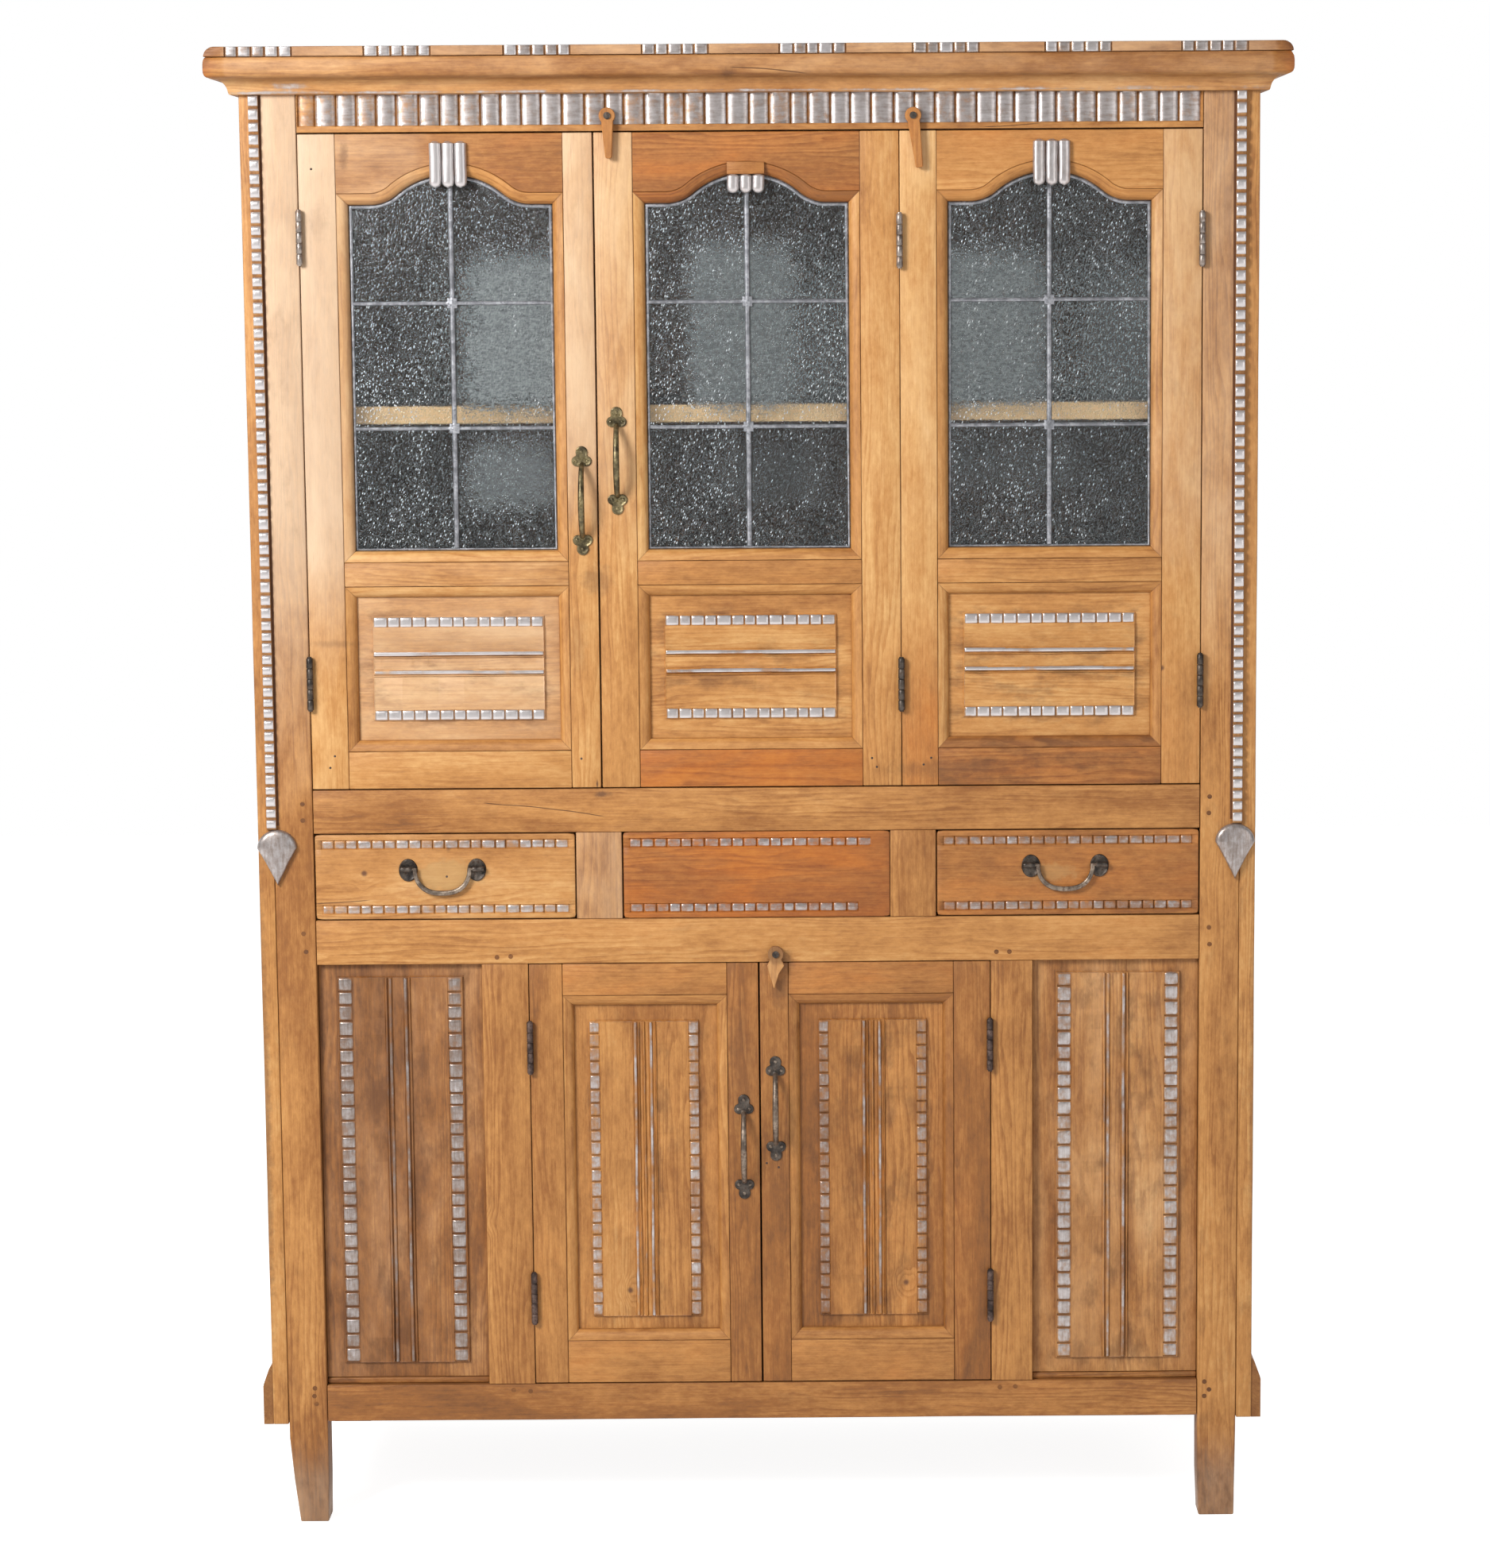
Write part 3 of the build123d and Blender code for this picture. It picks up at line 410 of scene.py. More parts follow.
def woodGrain(shader, grain, tone, warmth, grime, seam):
    # colour, height and dirt of old wood along the third grain coordinate; seam is metres to the edge.
    # Growth rings are the fraction of a warped distance across; broad bands, clouds, fibres and hair
    # lines are noises stretched along the grain
    across, thick, along = shader.split(grain)
    flat = shader.node("CombineXYZ", {0: across, 1: along + thick * 0.7})
    cell = shader.cells(flat, Scale=5.5, Randomness=0.62)
    rare = shader.over(shader.first(cell.out("Color")), 0.9)
    broad = shader.noise(grain, (9, 9, 0.9))
    warp = shader.noise(grain, (16, 16, 1.6), 3, 0.55)
    cloud = shader.noise(grain, (20, 20, 6), 4, 0.6, 0.4)
    blot = shader.noise(grain, (36, 36, 17), 4, 0.66)
    mottle = shader.noise(grain, (150, 150, 60), 4, 0.7)
    fibre = shader.noise(grain, (420, 420, 12), 4, 0.75)
    hair = shader.smooth(shader.noise(grain, (1300, 1300, 34)), 0.6, 0.7)
    knot = rare * (1 - shader.smooth(cell + (blot - 0.5) * 0.03, 0.008, 0.034))
    swirl = rare * (1 - shader.smooth(cell, 0.02, 0.16))
    ring = shader.maths("FRACT", (across + thick * 0.45) * wood["ringsPerMetre"] + warp * 12 + swirl * 2.2)
    late = (shader.smooth(ring, 0.3, 0.9) * (1 - shader.smooth(ring, 0.93, 1.0))
            * shader.smooth(broad + (warp - 0.5), 0.4, 0.6))
    value = (0.5 + tone * 0.5 + (broad - 0.5) * 0.5 + (cloud - 0.5) * 0.56 + (mottle - 0.5) * 0.36
             - late * 0.11 + (fibre - 0.5) * 0.3 - hair * 0.06)
    colour = shader.node("ValToRGB", {0: value}, stops=wood["stops"])
    warm = shader.smooth(cloud * 0.75 + warmth * 0.55, 0.42, 0.98)
    colour = shader.mix(warm, colour, wood["orange"], "MULTIPLY")
    colour = shader.mix(shader.smooth((cloud - 0.5) * 0.5 - warmth, 0.04, 0.95) * 0.85, colour, wood["pale"])
    stain = shader.smooth(blot + grime * 0.24, 0.6, 0.86) * 0.55
    edge = 1 - shader.smooth(seam * (0.5 + blot), 0.0, wood["seamWidth"])
    dirt = shader.most(stain * shader.smooth(grime + 0.15, 0.0, 1.0), edge * 0.42)
    dirt = shader.most(dirt, shader.smooth(grime, 0.7, 1.6) * 0.75)
    colour = shader.mix(dirt, colour, wood["dirt"])
    return shader.mix(knot * 0.85, colour, wood["knot"]), fibre * 0.5 + mottle * 0.35 - hair * 0.15, dirt


marks = {
    # dark places: x, z, half width, half height (mm), strength
    "stains": ((-618, 1918, 20, 30, 0.16), (-579, 2012, 8, 24, 0.5), (-256, 1310, 16, 60, 0.22),
               (-228, 1405, 30, 26, 0.4), (-610, 1314, 46, 7, 0.28), (-225, 1092, 14, 5, 0.75),
               (-231.5, 1106, 2.2, 8, 0.95), (30, 842, 26, 22, 0.55), (31, 800, 20, 30, 0.5),
               (-24, 690, 24, 130, 0.3), (-450, 1016, 5, 7, 0.6), (27, 560, 22, 110, 0.24),
               (300, 1126, 130, 16, 0.4), (-30, 2122, 14, 9, 0.6), (-727, 620, 11, 420, 0.55),
               (727, 620, 8, 420, 0.35)),
    # thin dark lines: x from, x to, z in the middle, slope, half width
    "cracks": ((-400, -215, 1071, -0.12, 0.7), (-648, -560, 936, 0.05, 0.7), (-30, 90, 2126, -0.1, 0.8),
               (330, 420, 2050, 0.06, 0.6)),
    # lighter, rubbed places on the drawer fronts, as the dark ones
    "rubbed": ((-453, 974, 52, 25, 0.55), (428, 972, 40, 14, 0.4)),
    "rubbedColour": paint(184, 146, 92),
    "reach": 20,                                # marks lie on what is less than this behind the face
}


def markMask(shader, place, spots, rough, sharp):
    # strength of soft ellipses: one minus the stepped distance from each middle, its edge moved by a noise
    total = 0.0
    for x, z, wide, tall, strength in spots:
        scaled = shader.vector("MULTIPLY", place, (1000 / wide, 0, 1000 / tall))
        far = shader.vector("DISTANCE", scaled, (x / wide, 0, z / tall), output="Value")
        total = shader.most(total, (1 - shader.smooth(far + (rough - 0.5) * 1.6, sharp, 1.15)) * strength)
    return total


def crackMask(shader, x, z, rough):
    # thin lines: inside a half width of a sloping line that wanders, and between two ends
    total = 0.0
    for low, high, level, slope, half in marks["cracks"]:
        off = z - (x - (low + high) / 2000) * slope - level / 1000 + (rough - 0.5) * 0.012
        line = 1 - shader.smooth(shader.maths("ABSOLUTE", off), half / 2000, half / 1000)
        ends = low / 1000, high / 1000
        total = shader.most(total, line * shader.smooth(x, ends[0], ends[0] + 0.01)
                            * shader.smooth(x, ends[1], ends[1] - 0.02))
    return total


def woodMaterial(name):
    # wood on pieces made here; the fourth finish channel is silver paint, worn by its own noise
    shader = newShader(name)
    grain = shader.read("grain")
    room = shader.vector("SUBTRACT", shader.read("span"), shader.vector("ABSOLUTE", shader.read("spot")))
    room = shader.split(room)
    finish = shader.read("finish", "Color")
    tone = shader.first(finish)
    colour, height, dirt = woodGrain(shader, grain, tone, tone.out("Green"), tone.out("Blue"),
                                     shader.maths("MINIMUM", room[0], room[2]))
    place = shader.place()
    x, y, z = shader.split(place)
    front = shader.under(y, (faceY + marks["reach"]) / 1000)
    wear = shader.noise(place, (90, 90, 90), 4, 0.68)
    rubbed = markMask(shader, place, marks["rubbed"], wear, 0.6) * front
    stained = markMask(shader, place, marks["stains"], wear, 0.2) * front
    crack = crackMask(shader, x, z, shader.noise(place, (7, 7, 7), 1)) * front
    colour = shader.mix(rubbed, colour, marks["rubbedColour"])
    colour = shader.mix(stained, colour, wood["dirt"])
    colour = shader.mix(crack * 0.8, colour, wood["dirt"])
    leaf = finish.out("Alpha")
    cover = shader.smooth(leaf * 1.55 - wear * 0.8, -0.08, 0.45)
    brushed = shader.noise(grain, (300, 300, 40), 3, 0.6)
    dull = shader.smooth(wear * 0.35 + brushed * 0.35 + (0.75 - leaf) * 0.6 - tone * 0.25, 0.3, 0.72)
    colour = shader.mix(cover * 0.92, colour, shader.mix(dull, wood["silver"], wood["silverShade"]))
    normal = shader.bump((height - crack * 1.5) * (1 - cover * 0.85) + cover * 0.3, 0.0006)
    return shader.finish(Base_Color=colour, Roughness=wood["gloss"] + dirt * 0.3 - cover * 0.18,
                         Metallic=cover * 0.7, Normal=normal)


def plainWood(name, along, tone=0.0, warmth=0.0, grime=0.4, shade=0.0, edgeAt=None, dirtAt=None):
    # wood on a node of the frame, its grain along one axis; shade mixes in a dark colour, painted shade
    # of the closed inside; edgeAt gives the share of a raw edge painted pale as light, and dirtAt more grime
    shader = newShader(name)
    x, y, z = shader.split(shader.place())
    order = {"x": (z, y, x), "z": (x, y, z), "y": (z, x, y)}[along]
    grain = shader.node("CombineXYZ", dict(enumerate(order)))
    if dirtAt:
        grime = grime + dirtAt(shader, z)
    colour, height, dirt = woodGrain(shader, grain, tone, warmth, grime, wood["noSeam"])
    colour = shader.mix(shade, colour, wood["shade"])
    if edgeAt:
        colour = shader.mix(edgeAt(shader, y, z), colour, wood["rawEdgeAndLight"])
    return shader.finish(Base_Color=colour, Roughness=0.62 + dirt * 0.2, Normal=shader.bump(height, 0.0006))


def metalMaterial(name, dark, light, rust, metallic, roughness, pit=260.0):
    # old metal: two tones, rubbed and pitted
    shader = newShader(name)
    place = shader.place()
    cloud = shader.noise(place, (70, 70, 70), 4, 0.65)
    fine = shader.noise(place, (pit, pit, pit), 3, 0.6)
    colour = shader.mix(shader.smooth(cloud, 0.35, 0.7), paint(*dark), paint(*light))
    colour = shader.mix(shader.smooth(fine + cloud * 0.5, 0.78, 0.98) * 0.8, colour, paint(*rust))
    return shader.finish(Base_Color=colour, Metallic=metallic, Roughness=roughness + (cloud - 0.5) * 0.3,
                         Normal=shader.bump(fine, 0.0004))


glassLook = {
    # colours of the painted glints and of the painted reflections, light and dark
    "paintedGlints": paint(226, 230, 232),
    "paintedSheen": paint(132, 139, 139),
    "paintedSheenShade": paint(82, 88, 90),
    "crowd": 0.2,                               # share of cells with a painted glint, a bright dash
    "leftMore": 0.1,                            # more of them at the left of a door
    # the stipple is painted reflection too
    "mottle": (0.38, 0.85),                     # strength of the stipple, and what the right upper panes add
    "shelf": (1.622, 1.63, 1.652, 1.66),        # the pale shelf edge, over which the stipple hardly shows
    # painted reflections, soft light patches of each door: x from, x to (from the middle of the glass),
    # z from, z to, strength
    "left_door": ((0.018, 0.17, 1.655, 1.868, 0.78), (0.015, 0.15, 1.51, 1.60, 0.44)),
    "centre_door": ((-0.085, 0.075, 1.655, 1.885, 0.56), (-0.05, 0.12, 1.515, 1.60, 0.12),
                    (0.06, 0.2, 1.66, 1.84, 0.12)),
    "right_door": ((-0.19, 0.0, 1.655, 1.87, 0.6), (-0.17, 0.06, 1.535, 1.60, 0.12),
                   (0.05, 0.2, 1.66, 1.84, 0.22)),
}


def paintedGlints(shader, slant, by, crowd):
    # painted glints, short bright dashes: the middles of stretched cells, of which the crowd's share is lit
    cell = shader.cells(shader.vector("MULTIPLY", slant, by), Scale=1.0)
    lit = shader.smooth(shader.first(cell.out("Color")) + crowd, 0.95, 1.1)
    return (1 - shader.smooth(cell, 0.1, 0.34)) * lit


def glassMaterial(name, door, centre):
    # seeded cast glass: clear dark panes, painted glints (slanting bright flecks) and painted reflections
    # (light patches with ragged edges, and a stipple)
    shader = newShader(name)
    place = shader.place()
    parts = shader.split(place)
    x, z = parts[0] - centre, parts[2]
    slant = shader.node("CombineXYZ", {0: x * 0.94 - z * 0.34, 1: x * 0.34 + z * 0.94})
    streak = shader.noise(slant, (420, 150, 1), 3, 0.62)
    wave = shader.noise(place, (60, 60, 75), 4, 0.62, 0.9)
    ripple = shader.noise(place, (150, 150, 380), 4, 0.65, 0.3)
    stipple = shader.noise(slant, (520, 300, 1), 3, 0.7)
    drift = shader.noise(place, (26, 26, 9), 3, 0.65)
    left = shader.smooth(x, 0.06, -0.08)
    crowd = (drift - 0.5) * 1.0 + (left - 0.5) * glassLook["leftMore"] + glassLook["crowd"]
    raggedX = x + (wave - 0.5) * 0.075 + (ripple - 0.5) * 0.05
    raggedZ = z + (wave - 0.5) * 0.055 + (ripple - 0.5) * 0.07
    patch = 0.0
    for low, high, base, top, strength in glassLook[door]:
        inside = (shader.smooth(raggedX, low - 0.035, low + 0.03)
                  * shader.smooth(raggedX, high + 0.045, high - 0.045)
                  * shader.smooth(raggedZ, base - 0.03, base + 0.02)
                  * shader.smooth(raggedZ, top + 0.05, top - 0.04))
        patch = shader.most(patch, shader.smooth(inside + (stipple - 0.5) * 1.9, 0.2, 0.95) * strength)
    crowd = crowd - patch * 0.25
    paintedGlint = shader.most(paintedGlints(shader, slant, (340, 120, 1), crowd),
                        paintedGlints(shader, slant, (640, 420, 1), crowd + 0.04) * 0.7)
    # the stipple: fine painted reflection over the panes, stronger in the upper right ones
    allOver, upRight = glassLook["mottle"]
    mottle = (shader.smooth(streak * 0.5 + stipple * 0.5, 0.45, 0.66)
              * (allOver + (1 - left) * shader.smooth(z, 1.61, 1.68) * shader.smooth(z, 1.9, 1.8) * upRight))
    a, b, c, d = glassLook["shelf"]
    mottle = mottle * (1 - shader.smooth(z, a, b) * shader.smooth(z, d, c) * 0.75)
    normal = shader.bump(wave * 0.5 + streak * 0.5 + ripple * patch * 0.7, 0.003, 0.5)
    clear = shader.node("BsdfPrincipled", {"Base Color": (0.83, 0.88, 0.92, 1), "Roughness": 0.05, "IOR": 1.3,
                                           "Transmission Weight": 1.0, "Normal": normal})
    # colour of the painted reflections, with the painted glints over it, mixed over the clear glass
    paintedSheen = shader.smooth(ripple * 0.6 + streak * 0.4, 0.36, 0.64)
    paintedReflection = shader.mix(paintedSheen, glassLook["paintedSheenShade"], glassLook["paintedSheen"])
    paintedReflection = shader.mix(paintedGlint, paintedReflection, glassLook["paintedGlints"])
    paintedReflectionCoat = shader.node("BsdfPrincipled", {"Base Color": paintedReflection, "Roughness": 0.4, "Normal": normal})
    share = shader.most(paintedGlint * 0.8, shader.most(patch, mottle))
    return shader.output(shader.node("MixShader", {0: share, 1: clear, 2: paintedReflectionCoat}))


boards = woodMaterial("oldPine")
iron = metalMaterial("oldIron", (50, 45, 42), (104, 94, 85), (70, 50, 38), 0.7, 0.45)
rustyIron = metalMaterial("rustyIron", (48, 36, 32), (112, 92, 84), (58, 36, 28), 0.5, 0.6, 420.0)
wornIron = metalMaterial("wornIron", (92, 80, 70), (158, 142, 126), (84, 60, 46), 0.7, 0.42)
steel = metalMaterial("rubbedSteel", (112, 102, 96), (170, 160, 152), (128, 108, 94), 0.8, 0.4, 120.0)
brass = metalMaterial("oldBrass", (70, 62, 46), (150, 136, 100), (88, 74, 40), 0.8, 0.38)
lead = metalMaterial("lead", (116, 117, 121), (176, 177, 182), (92, 93, 98), 0.5, 0.4)
print("materials made")


carcase = {"thickness": 30, "postDepth": 45, "sillTop": 218, "sillBack": 9, "drawerRow": (908, 1036),
           "lowerRow": (209, 842), "uprightStiles": (-405, 402),
           # height range and look of each face rail, then range across, row and look of each upright
           "rails": (((1036, 1100), (-0.2, -0.02, 0.3)), ((842, 908), (0.02, 0.16, 0.25)),
                     ((154, 209), (-0.32, 0.15, 0.35))),
           "uprights": (((-264, -197), "drawerRow", (-0.18, -0.32, 0.15)),
                        ((194, 261), "drawerRow", (-0.1, 0.05, 0.3)),
                        ((-405, -336.5), "lowerRow", (-0.18, 0.12, 0.25)),
                        ((340.5, 402), "lowerRow", (-0.2, 0.12, 0.3))),
           # each post: its two edges as heights and places (none stands for its full width), its look, then
           # the tone and warmth that it gains higher up (the left post's pale top is painted light), and the
           # tone that the scuffed leg loses
           "posts": {"left_front_post": ((((0, 12, 60, 118, 190), (-690, -689.5, -697, -703, None)),
                                          ((0, 14, 2149), (-648, None, None))),
                                         (-0.16, 0.0, 0.3), (0.06, -0.66), 0.45),
                     "right_front_post": ((((0, 60, 130), (649, 646.8, 646.3)),
                                           ((0, 80, 150), (701.5, 702.6, 703.8))),
                                          (-0.06, 0.05, 0.4), (-0.1, -0.42), 0.55)}}


def makePost(name, seed):
    low, high = nodeBox(name)
    edges, look, paleAbove, scuffed = carcase["posts"][name]
    limits = []
    for (heights, places), full in zip(edges, (low[0] + 0.2, high[0] - 0.3)):
        values = [full if place is None else place for place in places]
        limits.append(lambda s, heights=heights, values=values: np.interp(s, heights, values))
    post = board((low[0], high[0]), (0, carcase["postDepth"]), (low[2], high[2]), "z", look, 2.2, 0.3,
                 seed=seed, limits=limits)

    def change(x, y, z):
        worn = np.clip((150 - z) / 60, 0, 1)
        above = np.clip((z - 1000) / 500, 0, 1)
        # the left post's pale top is painted light, the glare of the bright upper left
        return paleAbove[0] * above - scuffed * worn, paleAbove[1] * above - 0.35 * worn, 0.3 * worn

    return vary(post, change)


def makeCarcase():
    posts = [makePost(name, 100 + 10 * index) for index, name in enumerate(carcase["posts"])]
    makePiece("frontPosts", posts, tuple(carcase["posts"]))
    thick = (0, carcase["thickness"])
    low, high = nodeBox("face_rails")
    rails = [board((low[0], high[0]), thick, z, "x", look, seed=120 + 10 * index)
             for index, (z, look) in enumerate(carcase["rails"])]
    left, right = carcase["uprightStiles"]
    for seed, x in ((150, (low[0], left)), (160, (right, high[0]))):
        rails.append(board(x, (carcase["sillBack"], thick[1]), (carcase["lowerRow"][0], carcase["sillTop"]),
                           "x", (-0.35, 0, 0.9), 2.5, 0.6, seed=seed))
    makePiece("faceRails", rails, ("face_rails",))
    uprights = [board(x, thick, carcase[row], "z", look, seed=170 + 10 * index)
                for index, (x, row, look) in enumerate(carcase["uprights"])]
    makePiece("faceUprights", uprights, ("face_uprights",))


makeCarcase()

frieze = {"plainEnds": (2, 3), "firstReed": 24, "reeds": 44, "low": 2053, "high": 2097, "deep": 6,
          "seed": 300, "silver": 0.45, "look": (-0.06, 0.05, 0.4)}


def makeFrieze():
    low, high = nodeBox("frieze_rail")
    start, end = low[0] + frieze["plainEnds"][0], high[0] - frieze["plainEnds"][1]
    second, others, seed = start + frieze["firstReed"], frieze["reeds"] - 1, frieze["seed"]
    edges = np.append(start, beadEdges(second, (end - second) / others, others, seed))
    xs = merged(spread(low[0], high[0], 40),
                beadPlaces(edges, (0, 0.03, 0.07, 0.16, 0.3, 0.5, 0.7, 0.84, 0.93, 0.97)))
    bottom, top = frieze["low"], frieze["high"]
    zs = np.concatenate([spread(low[2], bottom, 4), np.linspace(bottom + 0.6, top - 0.6, 9),
                         spread(top, high[2], 14)])

    def carve(x, z):
        height, own = beadRow(x, edges, seed, 3.2, share=0.995)
        inside = band(z, bottom, top, 1.2) * band(x, start, end, 0.8)
        knotty = np.where(x < edges[1], 0.6, 1)                   # the first reed has lost most of its silver
        leaf = np.clip(height * 3.2 - 0.6, 0, 1) * (frieze["silver"] + 0.16 * own) * knotty
        depth = frieze["deep"] * (1 - height) + own * 0.7
        return inside * depth, inside * leaf, inside * np.clip(1.1 - height * 1.5, 0, 1)

    shape = relief(xs, zs, carve, carcase["thickness"], "x", frieze["look"], seed)
    makePiece("friezeRail", [shape], ("frieze_rail",))


makeFrieze()
print("carcase made")


drawerFronts = {"beads": 20, "rows": ((917, 930), (1013, 1026)), "inset": 9, "sunk": 3.4, "thickness": 22,
                "corner": 5,
                # body, look, beads missing at the right end of each row, silver, seed
                "fronts": {"left_drawer_front": ("left_drawer", (0.08, -0.12, 0.3), (0, 0), 0.44, 400),
                           "right_drawer_front": ("right_drawer", (-0.16, 0.45, 0.45), (0, 0), 0.42, 410),
                           "false_drawer_front": ("carcase", (-0.14, 0.8, 0.15), (2, 1), 0.46, 420)}}


def roundCorners(points, low, high, corner):
    # moves the points near each corner in x and z onto a quarter circle
    x, z = points[:, 0], points[:, 2]
    reachX = corner - np.minimum(x - low[0], high[0] - x)
    reachZ = corner - np.minimum(z - low[2], high[2] - z)
    square = np.maximum(reachX, reachZ) / np.maximum(np.hypot(reachX, reachZ), 1e-6)
    shrink = np.where((reachX > 0) & (reachZ > 0), square - 1, 0)
    right, up = np.sign(x - (low[0] + high[0]) / 2), np.sign(z - (low[2] + high[2]) / 2)
    points[:, 0] += right * reachX * shrink
    points[:, 2] += up * reachZ * shrink


def makeDrawerFront(node):
    body, look, missing, cover, seed = drawerFronts["fronts"][node]
    low, high = nodeBox(node)
    beads, (lower, upper) = drawerFronts["beads"], drawerFronts["rows"]
    start, end = low[0] + drawerFronts["inset"], high[0] - drawerFronts["inset"]
    pitch = (end - start) / beads
    edges = [beadEdges(start, pitch, beads, seed + k) for k in (0, 1)]
    xs = merged(spread(low[0], high[0], 30), beadPlaces(edges[0]), beadPlaces(edges[1]))
    zs = merged(spread(low[2], lower[0] - 0.6, 3), eased(*lower),
                np.linspace(lower[1] + 0.6, upper[0] - 0.6, 8), eased(*upper),
                spread(upper[1] + 0.6, high[2], 3))

    def carve(x, z):
        total, leaf, grime = np.zeros((3,) + x.shape)
        for k, row in enumerate((lower, upper)):
            inside = band(z, *row, 0.9) * band(x, start, end - missing[k] * pitch, 0.9)
            height, own = beadRow(x, edges[k], seed + k)
            pillow = height * crown(z, *row, 4)
            total += inside * drawerFronts["sunk"] * (1 - pillow)
            leaf += inside * np.clip(pillow * 2.2 - 0.5, 0, 1) * cover * (0.86 + 0.28 * own)
            grime += inside * np.clip(1.1 - height * 1.5, 0, 1)
        return total, leaf, grime

    shape = relief(xs, zs, carve, drawerFronts["thickness"], "x", look, seed, 1.6)
    roundCorners(shape["points"], low, high, drawerFronts["corner"])
    makePiece(node.replace("_", " ").title().replace(" ", ""), [shape], (node,), body)


for node in drawerFronts["fronts"]:
    makeDrawerFront(node)
print("drawer fronts made")


panels = {"depth": 12.2, "rise": 6.6, "thickness": 10, "beadRise": 3.2, "slope": 1.6, "groove": 1.1,
          # of each kind: beads in a row, width of the row, its place from the field's edge, what the back is
          # thicker by, and lines of the field as place from the middle, half width and silver
          "upper": (13, 14.5, 1, 0, ((-5.4, 3.2, 0.72), (22, 3.4, 0.8), (-10.6, 1.0, 0.2), (16.4, 1.0, 0.2))),
          "lower": (22, 15, 0.6, 0, ((-13, 2.5, 0.5), (-7.5, 1.1, 0.32), (0, 1.7, 0.3), (10, 2.5, 0.54),
                                     (17, 0.9, 0.28))),
          "fixed": (27, 20.5, 2.6, 7.8, ((-20, 1.8, 0.34), (-14.2, 2.6, 0.46), (8.4, 2.7, 0.5),
                                         (14.2, 1.6, 0.24))),
          # lower and upper end of the field of each kind
          "upperZ": (1200, 1352), "lowerZ": (308, 755), "fixedZ": (240, 823)}


def makePanel(kind, box, fieldX, look, cover, seed, gain):
    # board with a raised field: a row of beads along both long edges and half-round lines in the middle;
    # gain is the tone and warmth of the field. The beads of the upper kind run along x, the others along z
    beads, width, inset, extraBack, lines = panels[kind]
    low, high = box
    fieldZ = panels[kind + "Z"]
    upright = kind != "upper"
    alongAxis, acrossAxis = (2, 0) if upright else (0, 2)
    (lo, hi), (a0, a1) = (fieldZ, fieldX) if upright else (fieldX, fieldZ)
    slope = panels["slope"]
    start, end, middle = lo + slope, hi - slope, (a0 + a1) / 2
    rows = ((a0 + inset, a0 + inset + width), (a1 - inset - width, a1 - inset))
    edges = [beadEdges(start, (end - start) / beads, beads, seed + k) for k in (0, 1)]
    alongPlaces = merged(spread(low[alongAxis], high[alongAxis], 25),
                         [lo - 0.1, lo + 1.5, hi - 1.5, hi + 0.1], *[beadPlaces(row) for row in edges])
    profile = np.array([-1.5, -1.1, -0.9, -0.6, -0.2, 0.2, 0.6, 0.9, 1.1, 1.5])
    acrossPlaces = merged(spread(low[acrossAxis], a0 - 1, 8), [a0 - 0.1, a0 + 1.5], [a1 - 1.5, a1 + 0.1],
                          spread(a1 + 1, high[acrossAxis], 8), *[eased(*row) for row in rows],
                          *[[row[0] - 0.5, row[1] + 0.5] for row in rows],
                          *[middle + place + half * profile for place, half, silver in lines])

    def carve(x, z):
        t, a = (z, x) if upright else (x, z)
        rim = np.minimum(np.minimum(t - lo, hi - t), np.minimum(a - a0, a1 - a))
        raised = np.clip(rim / slope, 0, 1) * (panels["rise"] - 2.2)
        leaf = 0.34 * band(rim, 0.5, 2.2, 0.8)
        grime = 0.5 * band(rim, -2.5, 0.4, 1.5)
        for k, row in enumerate(rows):
            height, own = beadRow(t, edges[k], seed + k, crest=0.6 if upright else 0.5)
            pillow = height * crown(a, *row)
            inside = band(a, *row, 0.8) * band(t, start, end, 0.8)
            raised = raised + inside * (pillow * panels["beadRise"] - 1.8)
            leaf = np.maximum(leaf, inside * np.clip(pillow * 2.4 - 0.5, 0, 1) * cover * (0.88 + 0.22 * own))
            grime = grime + inside * np.clip(1.2 - height * 1.6, 0, 1)
        for k, (place, half, silver) in enumerate(lines):
            away = (a - middle - place - 0.5 * waver(t, seed + 20 + k, 500)) / half
            length = band(t, lo + 2, hi - 2, 1.5)
            cut = np.exp(-((np.abs(away) - 1.12) * half / 0.8) ** 2)
            raised = raised + length * (2.0 * np.sqrt(np.clip(1 - away ** 2, 0, 1)) - panels["groove"] * cut)
            worn = silver * (0.8 + 0.3 * waver(t, seed + 7 + k, 150))
            leaf = np.maximum(leaf, length * (np.abs(away) < 0.85) * worn)
            grime = grime + 0.4 * length * cut
        return panels["depth"] - raised, np.clip(leaf, 0, 1), grime

    grid = (acrossPlaces, alongPlaces) if upright else (alongPlaces, acrossPlaces)
    back = panels["depth"] + panels["thickness"] + extraBack
    shape = relief(*grid, carve, back, "z" if upright else "x", look, seed)

    def rubbed(x, y, z):
        inside = band(x, *fieldX, 2) * band(z, *fieldZ, 2)
        return gain[0] * inside, gain[1] * inside, 0

    return vary(shape, rubbed)


centres = {"left_door": -430, "centre_door": -6.5, "right_door": 427}
# kind, field across, look, silver, seed, and the gain of the field
doorPanels = {"left_door": ("upper", (-555, -305), (-0.06, -0.3, 0.3), 0.72, 500, (0.22, -0.12)),
              "centre_door": ("upper", (-131.5, 118.5), (-0.04, 0.0, 0.3), 0.72, 520, (0.05, 0)),
              "right_door": ("upper", (302, 552), (0.1, 0.1, 0.4), 0.72, 540, (0.06, -0.08)),
              "lower_left_door": ("lower", (-250, -88), (-0.12, 0.15, 0.35), 0.42, 600, (0.1, 0)),
              "lower_right_door": ("lower", (87, 247), (-0.36, 0.2, 0.45), 0.4, 620, (0.1, 0))}
